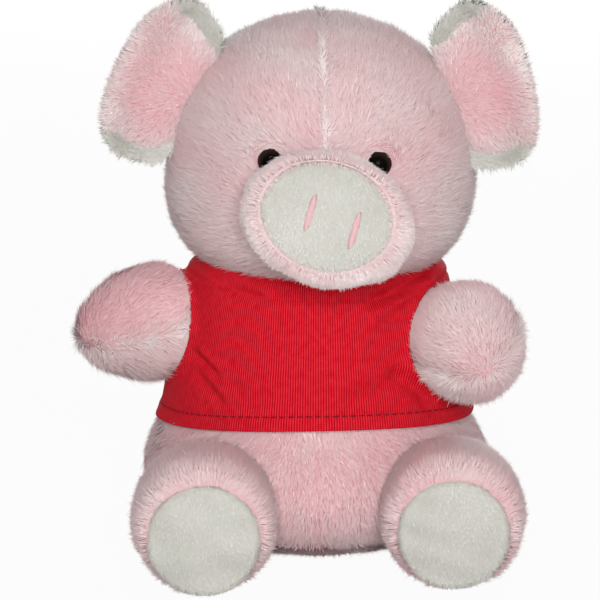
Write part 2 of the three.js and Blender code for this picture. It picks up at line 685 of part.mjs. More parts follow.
function buildArm(name, azimuthDeg, riseDeg) {
  const outside = limb(ARM_PROFILE_SHARES, ARM_RADIUS, ARM_REACH, LIMB_AROUND);
  const inside = limb(ARM_PROFILE_SHARES, ARM_RADIUS - SKIN, ARM_REACH - SKIN, SMALL_AROUND);
  const stuffed = [ARM_RADIUS - SKIN - GAP, ARM_REACH - SKIN - GAP];
  const [lower, upper] = halves(outside.subtract(inside), 'y', REACH);
  const rolled = new THREE.Group();
  rolled.rotation.z = radians(ARM_SEAM_DEG);
  rolled.add(
    piece(`arm_${name}_skin_upper`, upper, fabric(PINK)),
    piece(`arm_${name}_skin_lower`, lower, fabric(PINK)),
    piece(`arm_${name}_filling`, limb(ARM_PROFILE_SHARES, ...stuffed, SMALL_AROUND), fabric(STUFFING)),
  );
  const place = new THREE.Group();
  place.name = `arm_${name}_seam`;
  place.applyMatrix4(aim(armCentres[name], azimuthDeg, riseDeg));
  place.add(rolled);
  return place;
}

function buildLeg(name, azimuthDeg) {
  const tube = [[1, 0], [1, 1]];
  const soleBack = LEG_REACH - SOLE_RECESS - SOLE_THICKNESS;
  const ground = LEG_RADIUS - SEAT_CUT;
  const floor = block(-REACH, -ground - REACH, -REACH, 2 * REACH, REACH, 2 * REACH);
  const opening = rod(SOLE_DIAMETER / 2 + GAP, soleBack - GAP, LEG_REACH + OVERRUN, LIMB_AROUND);
  const pocket = toSolid(opening.translate(0, -SOLE_DROP, 0));
  const skin = limb(LEG_PROFILE_SHARES, LEG_RADIUS, LEG_REACH, LIMB_AROUND)
    .subtract(limb(tube, LEG_RADIUS - SKIN, soleBack, SMALL_AROUND))
    .subtract(pocket)
    .subtract(floor);
  const stuffing = limb(tube, LEG_RADIUS - SKIN - GAP, soleBack - GAP, SMALL_AROUND);
  const sole = toSolid(pad(SOLE_DIAMETER / 2, SOLE_THICKNESS, SOLE_DOME, 0)
    .translate(0, -SOLE_DROP, LEG_REACH - SOLE_RECESS));
  const place = new THREE.Group();
  place.name = `leg_${name}_seam`;
  place.applyMatrix4(aim(legCentres[name], azimuthDeg, 0));
  place.add(
    piece(`leg_${name}_skin`, skin, fabric(PINK)),
    piece(`leg_${name}_sole`, sole, fabric(SOLE_WHITE)),
    piece(`leg_${name}_filling`, stuffing, fabric(STUFFING)),
  );
  return place;
}

// Tail

function buildTail() {
  const turns = 2 * Math.PI * TAIL_TURNS;
  const route = Array.from({ length: TAIL_STEPS + 1 }, (_, i) => {
    const share = i / TAIL_STEPS;
    const [angle, ahead] = [turns * share, TAIL_BALL + TAIL_LEAD * TAIL_TURNS * share];
    return new THREE.Vector3(TAIL_LOOP * (1 - Math.cos(angle)), ahead, TAIL_LOOP * Math.sin(angle));
  });
  const path = new THREE.CatmullRomCurve3([new THREE.Vector3(0, 0, 0), ...route]);
  const section = new THREE.Shape().absarc(0, 0, TAIL_RADIUS, 0, 2 * Math.PI);
  const tube = new THREE.ExtrudeGeometry(section, {
    steps: TAIL_STEPS + 1, extrudePath: path, curveSegments: TAIL_SIDES / 2,
  });
  const solid = joined([
    toSolid(tube),
    ball(TAIL_BALL, new THREE.Vector3(), SMALL_AROUND),
    ball(TAIL_RADIUS, route[TAIL_STEPS], TAIL_SIDES),
  ]);
  const place = new THREE.Group();
  place.name = 'tail_seam';
  place.position.copy(tailCentre);
  place.add(piece('tail', solid, fabric(PINK)));
  return place;
}

// The whole toy, its bounding box centred over the origin

function buildPig() {
  const pig = new THREE.Group();
  const head = new THREE.Group();
  head.name = 'neck_seam';
  head.position.copy(headCentre);
  head.rotation.z = radians(HEAD_TURN_DEG);
  head.add(...buildHead(), buildSnout());
  SIDES.forEach(([name, side]) => head.add(buildEye(name, side), buildEar(name, side)));
  pig.add(
    ...buildTorso(),
    ...buildShirt(),
    head,
    buildArm('left', ARM_LEFT_AZIMUTH_DEG, ARM_LEFT_RISE_DEG),
    buildArm('right', ARM_RIGHT_AZIMUTH_DEG, ARM_RIGHT_RISE_DEG),
    buildLeg('left', LEG_LEFT_AZIMUTH_DEG),
    buildLeg('right', LEG_RIGHT_AZIMUTH_DEG),
    buildTail(),
  );
  const middle = new THREE.Box3().setFromObject(pig, true).getCenter(new THREE.Vector3());
  pig.position.set(-middle.x, -middle.y, 0);
  return pig;
}

export default buildPig();
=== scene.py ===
"""A seated plush pig in a sleeveless knitted shirt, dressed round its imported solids.

Metres, +Z up, the toy faces -Y. Left and right are the toy's own.
"""

import json
import math
from functools import cache

import bmesh
import bpy
import numpy as np
from bpy.props import FloatProperty, FloatVectorProperty, IntProperty, PointerProperty
from mathutils import Matrix, Vector, kdtree
from mathutils.bvhtree import BVHTree


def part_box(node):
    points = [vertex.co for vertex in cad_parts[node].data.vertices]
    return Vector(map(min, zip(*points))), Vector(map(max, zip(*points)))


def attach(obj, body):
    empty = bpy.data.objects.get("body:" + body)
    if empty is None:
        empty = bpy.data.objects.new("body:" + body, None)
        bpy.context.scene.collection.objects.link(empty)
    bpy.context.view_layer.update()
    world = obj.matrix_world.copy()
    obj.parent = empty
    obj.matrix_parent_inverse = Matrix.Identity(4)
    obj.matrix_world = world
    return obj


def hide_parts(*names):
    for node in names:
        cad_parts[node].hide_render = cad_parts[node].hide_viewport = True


bl_info = {
    "name": "Plush Pig",
    "version": (1, 0, 0),
    "blender": (4, 5, 0),
    "location": "3D View > Sidebar > Plush Pig",
    "description": "Builds a seated plush pig in a knitted shirt round its packed solids",
    "category": "Add Mesh",
}

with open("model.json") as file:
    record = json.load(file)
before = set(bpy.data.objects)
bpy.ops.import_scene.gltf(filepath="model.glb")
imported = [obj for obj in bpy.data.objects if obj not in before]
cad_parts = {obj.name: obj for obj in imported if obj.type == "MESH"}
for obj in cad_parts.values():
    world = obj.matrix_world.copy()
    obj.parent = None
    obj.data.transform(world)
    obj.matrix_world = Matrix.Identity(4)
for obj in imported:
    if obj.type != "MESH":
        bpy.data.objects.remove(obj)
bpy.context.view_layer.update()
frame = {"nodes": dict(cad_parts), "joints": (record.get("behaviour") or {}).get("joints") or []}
JOINTS = {joint["name"]: joint for joint in frame["joints"]}
SIDES = (("left", 1), ("right", -1))
MM = 0.001

COVER = 2.6 * MM  # how far below the long pile's tips its backing shows
AROUND, AROUND_LIMB, AROUND_PAD = 120, 80, 96  # points round the forms
SHIRT_AROUND, SHIRT_ROWS = 400, 90
PRESSURE, FRAMES = 4, 20  # of the stuffing, in the cloth simulation
FINE = 0.2 * MM  # width of the finest fibres drawn
THREAD_WELD = 1e-7  # within which a stitch's end points are one
SNOUT_HOLE, SNOUT_FLAT = 20.5 * MM, 0.81  # half width and flatness of the head pile's opening
LEG_HOLE = 17.5 * MM  # radius of the openings in the torso's pile
HEM_LAP = 5 * MM  # how far the torso's pile goes up under the shirt
SATIN_STEP = 0.42 * MM  # from one satin stitch to the next
STITCH_STEP, STITCH = 2.6 * MM, 1.5 * MM  # between the hem's stitches, and a stitch's length
WILD = 0.05  # share of the fibres that are longer than the rest
LEAST_LEAN, MOST_LEAN, MOST_DROOP = 0.05, 1.35, 1.5  # of a fibre from upright, in radians
MAP_HALF = 0.008  # half of a fibre's width on its map
FLOOR_GAP = 0.1 * MM  # how far the pile stays above the floor
BLACK, WHITE = (0, 0, 0), (1, 1, 1)

# Outlines, as shares of a radius and of a height
TORSO_SHARES = [
    (0, 0), (0.34, 0), (0.56, 0.022), (0.76, 0.075), (0.91, 0.15), (0.99, 0.235), (0.965, 0.345),
    (0.86, 0.455), (0.81, 0.615), (0.764, 0.78), (0.727, 0.885), (0.68, 0.95), (0.53, 0.985),
    (0, 1),
]
HEAD_SHARES = [
    (0, 0), (0.32, 0.004), (0.58, 0.022), (0.745, 0.062), (0.85, 0.11), (0.932, 0.183),
    (0.984, 0.268), (1, 0.366), (0.98, 0.475), (0.945, 0.585), (0.9, 0.665), (0.82, 0.757),
    (0.69, 0.842), (0.52, 0.915), (0.33, 0.966), (0.16, 0.991), (0, 1),
]
ARM_SHARES = [
    (1, 0), (0.98, 0.15), (0.91, 0.32), (0.82, 0.48), (0.71, 0.63), (0.57, 0.76), (0.42, 0.86),
    (0.25, 0.95), (0.11, 0.99), (0, 1),
]
LEG_SHARES = [
    (1, 0), (1, 0.35), (0.99, 0.62), (0.965, 0.84), (0.91, 0.96), (0.82, 1), (0.5, 0.985),
    (0, 0.98),
]
PAD_SHARES = [(0, -1), (0.92, -1), (1, -0.5), (0.94, 0), (0.7, 0.5), (0.38, 0.875), (0, 1)]
EAR_SHARES = [
    (0.39, -0.03), (0.51, 0.18), (0.57, 0.42), (0.565, 0.6), (0.505, 0.76), (0.405, 0.9),
    (0.245, 0.97), (0.08, 0.98), (-0.1, 0.965), (-0.26, 0.92), (-0.39, 0.81), (-0.455, 0.66),
    (-0.47, 0.42), (-0.45, 0.18), (-0.36, -0.03), (0, -0.12),
]
# The snout's roll: shares of its half width, and millimetres in front of the head's axis
ROLL_SHARES = [
    (0.71, 55), (0.73, 59.2), (0.775, 60.2), (0.84, 59.2), (0.9, 56.4), (0.93, 52), (0.925, 45),
    (0.88, 33),
]
# An eye's shank: millimetres from its axis, and in front of the skin
SHANK = [(0, -7), (1.2, -7), (1.4, -6.8), (1.4, 0), (3.2, 0), (3.5, 0.25)]
# Folds in the shirt's front, in mm from the torso's axis: from, to, half width and depth
SHIRT_FOLDS = [
    ((33.5, 88), (15, 80), 1.8, 1.7), ((22, 60), (34, 50), 2, 1.5),
    ((-37, 63), (-29, 57), 1.4, 1.3), ((-36, 57), (-28, 50), 1.6, 1.0),
    ((-31, 87), (-16, 80), 2, 0.9), ((8, 52), (24, 57), 2.4, 0.7), ((-20, 50), (-8, 55), 2.4, 0.6),
]
# Lamps: place in metres, width in metres
LAMPS = {"key": ((0.04, -1.2, 0.45), 0.5), "back": ((0.3, 2.6, 0.7), 1.5)}
LOOK_AT = (-4.92, 0, 74.5)  # where the camera points, in mm from the torso's axis on the floor
FLOOR_REACH = 6  # metres from the middle to the floor's edge


# Properties


def linear(hex_colour):
    """An sRGB hex value as linear red, green and blue."""
    value = hex_colour.lstrip("#")
    parts = [int(value[i : i + 2], 16) / 255 for i in (0, 2, 4)]
    return tuple(c / 12.92 if c <= 0.04045 else ((c + 0.055) / 1.055) ** 2.4 for c in parts)


def size(name, description, millimetres):
    return FloatProperty(
        name=name, description=description, default=millimetres * MM, min=0, precision=4,
        subtype="DISTANCE", unit="LENGTH",
    )


def angle(name, description, degrees):
    return FloatProperty(
        name=name, description=description, default=math.radians(degrees), subtype="ANGLE",
        unit="ROTATION",
    )


def colour(name, description, hex_colour):
    return FloatVectorProperty(
        name=name, description=description, default=linear(hex_colour), size=3, min=0, max=1,
        subtype="COLOR",
    )


def amount(name, description, default, **more):
    return FloatProperty(name=name, description=description, default=default, min=0, **more)


class PigBody(bpy.types.PropertyGroup):
    torso_width: size("Torso width", "Across the seat, over the pile", 110)
    torso_depth: size("Torso depth", "From belly to back, over the pile", 95)
    torso_height: size("Torso height", "From the floor to inside the neck", 90)
    arm_radius: size("Arm radius", "Of an arm at its armhole, over the pile", 18)
    arm_reach: size("Arm reach", "From the armhole's middle to the tip", 23.5)
    arm_droop: angle("Arm droop", "How far the arms point below level", 12.5)
    leg_radius: size("Leg radius", "Of a leg, over the pile", 21)
    leg_reach: size("Leg reach", "From the hip's middle to the rim round the sole", 20.5)
    sole_width: size("Sole width", "Across a sole", 32)
    sole_drop: size("Sole drop", "Of a sole's middle below the leg's axis", 2.5)
    tail_radius: size("Tail radius", "Of the tail, over the pile", 3.6)
    tail_loop: size("Tail loop", "Radius of the tail's curl", 6.5)


class PigHead(bpy.types.PropertyGroup):
    width: size("Width", "Across the cheeks, over the pile", 95.6)
    depth: size("Depth", "From face to back, over the pile", 86)
    height: size("Height", "From chin to crown, over the pile", 82)
    bottom: size("Bottom", "Height of the chin above the floor", 82)
    turn: angle("Turn", "Of the head at rest", 1.5)
    snout_width: size("Snout width", "Across the furry roll", 50)
    snout_height: size("Snout height", "Over the furry roll", 40.4)
    snout_centre: size("Snout centre", "Above the floor, where its axis meets the head's", 102.3)
    snout_sideways: size("Snout sideways", "How far it sits to the toy's left", 0.4)
    snout_roll: angle("Snout roll", "Tilt of the snout", -15)
    snout_pitch: angle("Snout pitch", "How far its face looks up", 7)
    disc_width: size("Disc width", "Across the short-pile disc", 37)
    disc_front: size("Disc front", "From the head's axis to the disc's rim", 60.5)
    disc_rise: size("Disc rise", "How high the disc sits in the roll", 1.3)
    eye_width: size("Eye width", "Across a safety eye", 7.5)
    eye_spread: size("Eye spread", "Between the two eyes", 29.6)
    eye_centre: size("Eye centre", "Above the floor", 122.5)
    eye_tilt: angle("Eye tilt", "How much lower the left eye sits", 1.7)
    ear_width: size("Ear width", "Along the seam", 45)
    ear_reach: size("Ear reach", "Out from the seam", 23.5)


class PigPile(bpy.types.PropertyGroup):
    length: size("Pile length", "Of the long pile", 4)
    width: size("Fibre width", "Drawn wider than a real fibre, so that it shows", 0.22)
    per_mm2: amount("Density", "Fibres to a square millimetre", 7.5)
    tuft: IntProperty(name="Tuft", description="Fibres that lean together", default=14, min=1)
    short: size("Short pile length", "Of the disc, the soles and the ears' backs", 1.3)
    tip: colour("Tips", "Long pile at its tips, where it is palest", "#e6d7d6")
    root: colour("Roots", "Long pile at its roots", "#f0adb6")
    # white is also the colour of the long-pile fibres painted palest as highlights.
    white: colour("Seam", "Long pile that stands in the head's and arms' seams", "#f8eeec")
    short_white: colour("Short pile", "Disc, soles and the ears' backs", "#d6d3cb")


class PigShirt(bpy.types.PropertyGroup):
    cloth: size("Cloth", "Thickness of the knitted fabric", 1)
    ease: size("Ease", "Between the pile and the cloth", 0.5)
    hem_sides: size("Hem at the sides", "Above the floor", 40)
    hem_rise: size("Hem rise", "How much higher it rides on the belly", 5)
    hem_width: size("Hem width", "Of the turned hem", 4.3)
    armhole: size("Armhole", "How deep its edge lies in an arm's pile", 0.4)
    tuck: size("Tuck", "How far its neckline goes into the head's pile", 2.2)
    wale: size("Wale", "From one column of loops to the next", 0.75)
    red: colour("Yarn", "The shirt's red", "#d80b24")
    thread: colour("Thread", "Of the hem's stitches", "#7d0818")


class PigSmallParts(bpy.types.PropertyGroup):
    nostril_length: size("Nostril length", "Of a satin stroke", 9.9)
    nostril_width: size("Nostril width", "Of a satin stroke", 1.8)
    nostril_pink: colour("Nostril thread", "Satin stitches", "#efc4c6")
    eye_black: colour("Eye", "Of the safety eyes", "#060504")
    eye_rim: colour("Eye's rim", "Of the safety eyes, where the light gets in", "#3d271c")


class PigStudio(bpy.types.PropertyGroup):
    distance: size("Camera distance", "From the toy's middle", 700)
    elevation: angle("Camera elevation", "Above level", 12)
    lens: amount("Lens", "Focal length in mm on 36 mm film", 136.5)
    key: amount("Key light", "Of the large front lamp", 13.2, unit="POWER")
    back: amount("Back light", "Of the lamp behind", 42, unit="POWER")
    sky: amount("Fill", "Of the even light all round", 0.22)
    floor: colour("Floor", "Of the pale floor", "#d2d2d2")


# Curves and forms


def spline(corners, steps, closed=False):
    """Points on a smooth curve through corners, with this many steps to each span."""
    c = np.asarray(corners, float)
    count = len(c)
    spans = count if closed else count - 1
    t = np.linspace(0, spans, spans * steps + 1)
    i = np.minimum(t.astype(int), spans - 1)
    f = (t - i)[:, None]

    def pick(k):
        return c[k % count] if closed else c[np.clip(k, 0, count - 1)]

    p0, p1, p2, p3 = pick(i - 1), pick(i), pick(i + 1), pick(i + 2)
    return 0.5 * (
        2 * p1 + (p2 - p0) * f + (2 * p0 - 5 * p1 + 4 * p2 - p3) * f**2
        + (3 * p1 - p0 - 3 * p2 + p3) * f**3
    )


def profile(shares, radius, bottom, top):
    points = spline(shares, 6)
    heights = bottom + points[:, 1] * (top - bottom)
    return np.stack([np.maximum(points[:, 0], 0) * radius, heights], -1)


def radius_at(points, height):
    order = np.argsort(points[:, 1], kind="stable")
    return np.interp(height, points[order, 1], points[order, 0])


def turned(points, around=AROUND):
    """A turned form with its axis along Z, as a grid of rings."""
    turn = np.linspace(0, 2 * np.pi, around, endpoint=False)
    r, z = points[:, :1], points[:, 1:]
    return np.stack([r * np.cos(turn), r * np.sin(turn), np.repeat(z, around, 1)], -1)


def smooth(x, low, high):
    """0 up to low and 1 from high on, with soft ends."""
    t = np.clip((x - low) / (high - low), 0, 1)
    return t * t * (3 - 2 * t)


def hill(x, width):
    """1 where x is 0, less and less over width to each side."""
    return np.exp(-((x / width) ** 2))


def off_axis(points):
    return np.hypot(points[..., 0], points[..., 1])


def unit(v):
    return v / np.maximum(np.linalg.norm(v, axis=-1, keepdims=True), 1e-12)


def moved(points, matrix):
    m = np.array(matrix)
    return points @ m[:3, :3].T + m[:3, 3]


def axes_of(place):
    """A place's own three axes, one to a row."""
    return np.array(place.to_3x3()).T


def lengths_along(points):
    """How far along a line each of its points lies."""
    return np.concatenate([[0], np.cumsum(np.linalg.norm(np.diff(points, axis=0), axis=1))])


def waves(points, length, seed, count=7):
    """A smooth pattern from -1 to 1 over points, with bumps about length across."""
    rng = np.random.default_rng(seed)
    total = np.zeros(points.shape[:-1])
    for _ in range(count):
        way = unit(rng.normal(size=3)) * 2 * np.pi / (length * rng.uniform(0.7, 1.5))
        total += np.sin(points @ way + rng.uniform(0, 2 * np.pi))
    return total / math.sqrt(count)


def make_piece(name, points, faces, material, uv=None, normals=None):
    """A smooth mesh object from points and faces. uv is (name, one pair for each corner), and
    normals are the directions that the points are shaded by, where these aren't the mesh's own."""
    mesh = bpy.data.meshes.new(name)
    faces = np.asarray(faces, np.int32)
    corners = faces.shape[1]
    mesh.vertices.add(len(points))
    mesh.vertices.foreach_set("co", np.asarray(points, np.float32).ravel())
    mesh.loops.add(faces.size)
    mesh.loops.foreach_set("vertex_index", faces.ravel())
    mesh.polygons.add(len(faces))
    mesh.polygons.foreach_set("loop_start", np.arange(0, faces.size, corners, dtype=np.int32))
    mesh.polygons.foreach_set("use_smooth", np.full(len(faces), True))
    if uv:
        layer = mesh.uv_layers.new(name=uv[0])
        layer.data.foreach_set("uv", np.asarray(uv[1], np.float32).ravel())
    mesh.update(calc_edges=True)
    if normals is not None:
        mesh.normals_split_custom_set_from_vertices(normals.tolist())
    piece = bpy.data.objects.new(name, mesh)
    bpy.context.scene.collection.objects.link(piece)
    mesh.materials.append(material)
    return piece


def dress(piece, body, slot, *stands_for, fill=None):
    """Says what a piece rides on and which solids it stands for. fill, how full a padded piece is,
    is not used.
    """
    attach(piece, body)
    if stands_for:
        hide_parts(*stands_for)
    return piece


def weld(piece, distance):
    shape = bmesh.new()
    shape.from_mesh(piece.data)
    bmesh.ops.remove_doubles(shape, verts=shape.verts, dist=distance)
    bmesh.ops.recalc_face_normals(shape, faces=shape.faces)
    shape.to_mesh(piece.data)
    shape.free()
    piece.data.polygons.foreach_set("use_smooth", np.full(len(piece.data.polygons), True))
    piece.data.update()
    return piece


def ring_faces(rings, around):
    index = np.arange(rings * around).reshape(rings, around)
    after = np.roll(index, -1, axis=1)
    return np.stack([index[:-1], after[:-1], after[1:], index[1:]], -1).reshape(-1, 4)


def ringed(name, grids, place, material, distance=1e-6):
    """One piece from closed grids of rings, their ends drawn together within a distance."""
    points, faces, start = [], [], 0
    for grid in grids:
        rings, around = grid.shape[:2]
        points.append(moved(grid.reshape(-1, 3), place))
        faces.append(ring_faces(rings, around) + start)
        start += rings * around
    piece = make_piece(name, np.concatenate(points), np.concatenate(faces), material)
    return weld(piece, distance)


def pad(radius, level, thick, dome, seed, flat=1.0, drop=0.0):
    """A thin cushion with a round edge at a level, as a grid of rings."""
    shares = spline(PAD_SHARES, 5)
    heights = level + shares[:, 1] * np.where(shares[:, 1] < 0, thick, dome)
    grid = turned(np.stack([np.maximum(shares[:, 0], 0) * radius, heights], -1), AROUND_PAD)
    grid[..., 1] = grid[..., 1] * flat - drop
    grid[..., 2] += 0.25 * MM * waves(grid, 9 * MM, seed)
    return grid


def baked(piece):
    """A new mesh of a piece with its modifiers applied."""
    graph = bpy.context.evaluated_depsgraph_get()
    return bpy.data.meshes.new_from_object(piece.evaluated_get(graph))


def stuffed(piece, cap, cell):
    """Lets the stuffing press a cover out: a slightly smaller copy in even cells is simulated as
    cloth under pressure, and the cover takes the unevenness that this gives, as far as cap."""
    scene = bpy.context.scene
    points, normals, _ = surface_of(piece)
    copy = bpy.data.objects.new(f"{piece.name}_cells", piece.data.copy())
    scene.collection.objects.link(copy)
    copy.data.vertices.foreach_set("co", (points - normals * MM).astype(np.float32).ravel())
    cells = copy.modifiers.new("even cells", "REMESH")
    cells.mode, cells.voxel_size = "VOXEL", cell
    even = baked(copy)
    copy.modifiers.clear()
    copy.data = even
    cloth = copy.modifiers.new("stuffing", "CLOTH")
    cloth.settings.use_pressure = True
    cloth.settings.uniform_pressure_force = PRESSURE
    cloth.settings.effector_weights.gravity = 0
    cloth.point_cache.frame_start, cloth.point_cache.frame_end = 1, FRAMES
    copy.modifiers.new("finer cells", "SUBSURF").levels = 1
    for at in range(1, FRAMES + 1):
        scene.frame_set(at)
    result = baked(copy)
    tree = BVHTree.FromPolygons(
        [v.co[:] for v in result.vertices], [p.vertices[:] for p in result.polygons],
    )
    out = np.array([
        (tree.find_nearest(p)[0] - Vector(p)).dot(Vector(n)) for p, n in zip(points, normals)
    ])
    points += normals * np.clip(out - np.median(out), -cap, cap)[:, None]
    piece.data.vertices.foreach_set("co", points.astype(np.float32).ravel())
    piece.data.update()
    bpy.data.objects.remove(copy)
    scene.frame_set(1)


def tube(path, radius, sides, ends):
    """A round tube along a path with rounded ends, as a grid of rings. radius is a number, or one
    for each point."""
    path = np.asarray(path, float)
    radius = np.broadcast_to(radius, len(path)).astype(float)
    along = unit(np.gradient(path, axis=0))
    side = unit(np.cross(along[0], (0.3, 0.2, 1.0)))
    sides_at = []
    for way in along:
        side = unit(side - way * (side @ way))
        sides_at.append(side)
    side = np.array(sides_at)
    up = np.cross(along, side)
    turn = np.linspace(0, 2 * np.pi, sides, endpoint=False)
    rows = [(path[i], radius[i], i) for i in range(len(path))]
    for bend in np.linspace(0, np.pi / 2, ends + 1)[1:]:
        first, last = (radius[i] * along[i] * math.sin(bend) for i in (0, -1))
        rows.insert(0, (path[0] - first, radius[0] * math.cos(bend), 0))
        rows.append((path[-1] + last, radius[-1] * math.cos(bend), -1))
    return np.array([
        centre + r * (np.cos(turn)[:, None] * side[i] + np.sin(turn)[:, None] * up[i])
        for centre, r, i in rows
    ])


# Materials


def rgba(value):
    return (*value[:3], 1.0)


def node(tree, kind, inputs, output=0, **properties):
    """Adds a node with its properties, feeds each input from a value or from another node's
    output, and gives one of its own outputs."""
    made = tree.nodes.new(f"ShaderNode{kind}")
    for key, value in properties.items():
        setattr(made, key, value)
    for key, value in inputs.items():
        feed(tree, made.inputs[key], value)
    return made.outputs[output]


def feed(tree, socket, value):
    """Links an output to a socket, or sets the socket's own value."""
    if isinstance(value, bpy.types.NodeSocket):
        tree.links.new(value, socket)
    else:
        socket.default_value = rgba(value) if socket.type == "RGBA" else value


def with_stops(ramp, stops):
    """Gives the colour ramp of an output its stops, pairs of a place and a colour."""
    marks = ramp.node.color_ramp.elements
    while len(marks) < len(stops):
        marks.new(0.5)
    for mark, (place, value) in zip(marks, stops):
        mark.position, mark.color = place, rgba(value)
    return ramp


def new_material(name, settings):
    """A material with a Principled shader that has these values on its own sockets."""
    material = bpy.data.materials.new(name)
    material.use_nodes = True
    shader = material.node_tree.nodes["Principled BSDF"]
    for key, value in settings.items():
        shader.inputs[key].default_value = value
    return material, material.node_tree, shader


def tinted(value, towards, share):
    return tuple(a + (b - a) * share for a, b in zip(value[:3], towards[:3]))


@cache
def pile_fibre():
    """Crimped polyester fibre, heat-set: pink where it is deep between its neighbours, pale and a
    little grey at the cut tips. Across the map is a fibre's own tone, up it is its length."""
    pile = bpy.context.scene.pig_pile
    material, tree, shader = new_material(
        "polyester_pile_fibre", {"Roughness": 0.62, "Sheen Weight": 0.3, "Sheen Roughness": 0.45},
    )
    place = node(tree, "UVMap", {}, uv_map="OFBake")
    tone, up = (node(tree, "SeparateXYZ", {0: place}, k) for k in (0, 1))
    # The seam stop's white also colours the fibres painted palest as highlights.
    seam, pale, pink = 0.04, 0.1, 0.95
    tips = with_stops(node(tree, "ValToRGB", {0: tone}), (
        (seam, pile.white), (pale, pile.tip), (pink, tinted(pile.tip, pile.root, 0.6)),
    ))
    roots = with_stops(node(tree, "ValToRGB", {0: tone}), (
        (seam, pile.white), (pale, tinted(pile.tip, pile.root, 0.25)), (pink, pile.root),
    ))
    height = node(tree, "Math", {0: up, 1: 0.8}, operation="POWER")
    along = node(tree, "Mix", {0: height, 6: roots, 7: tips}, 2, data_type="RGBA")
    stretched = node(tree, "VectorMath", {0: place, 1: (90.0, 3.0, 1.0)}, operation="MULTIPLY")
    uneven = node(tree, "TexNoise", {"Vector": stretched, "Scale": 1.0, "Detail": 2.0})
    dull = node(tree, "Math", {0: uneven, 1: 0.22}, operation="MULTIPLY")
    grey = linear("#cdb5b4")
    greyed = node(tree, "Mix", {0: dull, 6: along, 7: grey}, 2, data_type="RGBA")
    feed(tree, shader.inputs["Base Color"], greyed)
    return material


@cache
def pile_backing(name="polyester_pile_backing", pale=0.0):
    """Knitted polyester backing under the pile, pink between the fibres, with loops 0.8 mm apart,
    painted shade that darkens it between the loops, and paler clouds 9 mm across. pale is how far
    its pink goes to the tips' colour."""
    pile = bpy.context.scene.pig_pile
    deep = tinted(pile.root, pile.tip, pale)
    pink, paler = (tinted(deep, pile.tip, share) for share in (0.1, 0.6))
    material, tree, shader = new_material(name, {"Roughness": 0.9})
    place = node(tree, "TexCoord", {}, "Object")
    loops = node(tree, "TexVoronoi", {"Vector": place, "Scale": 1 / (0.8 * MM)})
    cloud = node(tree, "TexNoise", {"Vector": place, "Scale": 1 / (9 * MM), "Detail": 2.0})
    base = node(tree, "Mix", {0: cloud, 6: pink, 7: paler}, 2, data_type="RGBA")
    # Painted shade: the backing darkens towards black between its loops.
    between = node(tree, "Math", {0: loops, 1: 0.5}, operation="MULTIPLY")
    dark = tinted(deep, BLACK, 0.3)
    shaded = node(tree, "Mix", {0: between, 6: base, 7: dark}, 2, data_type="RGBA")
    feed(tree, shader.inputs["Base Color"], shaded)
    bump = node(tree, "Bump", {"Strength": 0.6, "Distance": 0.3 * MM, "Height": loops})
    feed(tree, shader.inputs["Normal"], bump)
    return material


@cache
def short_fibre():
    """Short cut polyester pile, greyish white, greyer towards each fibre's root as painted shade
    deep in the pile, with a few fibres painted near white as glints: painted highlights where
    fibres would catch the light.
    """
    white = bpy.context.scene.pig_pile.short_white
    # dull is a fibre's own greyer tone; grey is painted shade at the fibres' roots.
    dull, grey = tinted(white, linear("#bfc1b8"), 0.7), tinted(white, linear("#b4b5ad"), 0.5)
    material, tree, shader = new_material(
        "short_cut_pile_fibre", {"Roughness": 0.5, "Sheen Weight": 0.15},
    )
    place = node(tree, "UVMap", {}, uv_map="OFBake")
    tone, up = (node(tree, "SeparateXYZ", {0: place}, k) for k in (0, 1))
    tips = node(tree, "Mix", {0: tone, 6: white, 7: dull}, 2, data_type="RGBA")
    # Painted glints: fibres of the lowest tones take a near-white colour.
    bright = node(tree, "Math", {0: tone, 1: 0.04}, operation="LESS_THAN")
    shine = tinted(white, WHITE, 0.6)
    tips = node(tree, "Mix", {0: bright, 6: tips, 7: shine}, 2, data_type="RGBA")
    greyed = node(tree, "Mix", {0: up, 6: grey, 7: tips}, 2, data_type="RGBA")
    feed(tree, shader.inputs["Base Color"], greyed)
    return material


@cache
def short_backing():
    """The ground of the short pile, painted grey as the shade between the fibres, greyer still in
    the low parts of its grain 0.5 mm across, also painted shade, and varied by clouds 7 mm across.
    """
    white = bpy.context.scene.pig_pile.short_white
    grey = tinted(white, linear("#a9aaa2"), 0.4)
    material, tree, shader = new_material(
        "short_cut_pile_ground", {"Roughness": 0.85, "Sheen Weight": 0.2},
    )
    place = node(tree, "TexCoord", {}, "Object")
    grain = node(tree, "TexNoise", {"Vector": place, "Scale": 1 / (0.5 * MM), "Detail": 3.0})
    cloud = node(tree, "TexNoise", {"Vector": place, "Scale": 1 / (7 * MM), "Detail": 2.0})
    cloud = node(tree, "Math", {0: cloud, 1: 0.5}, operation="MULTIPLY")
    # Painted shade: the ground greys between the fibres and where its grain is low.
    mixed = node(tree, "Math", {0: grain, 1: 0.5, 2: cloud}, operation="MULTIPLY_ADD")
    ground = node(tree, "Mix", {0: mixed, 6: grey, 7: white}, 2, data_type="RGBA")
    feed(tree, shader.inputs["Base Color"], ground)
    bump = node(tree, "Bump", {"Strength": 0.5, "Distance": 0.2 * MM, "Height": grain})
    feed(tree, shader.inputs["Normal"], bump)
    return material


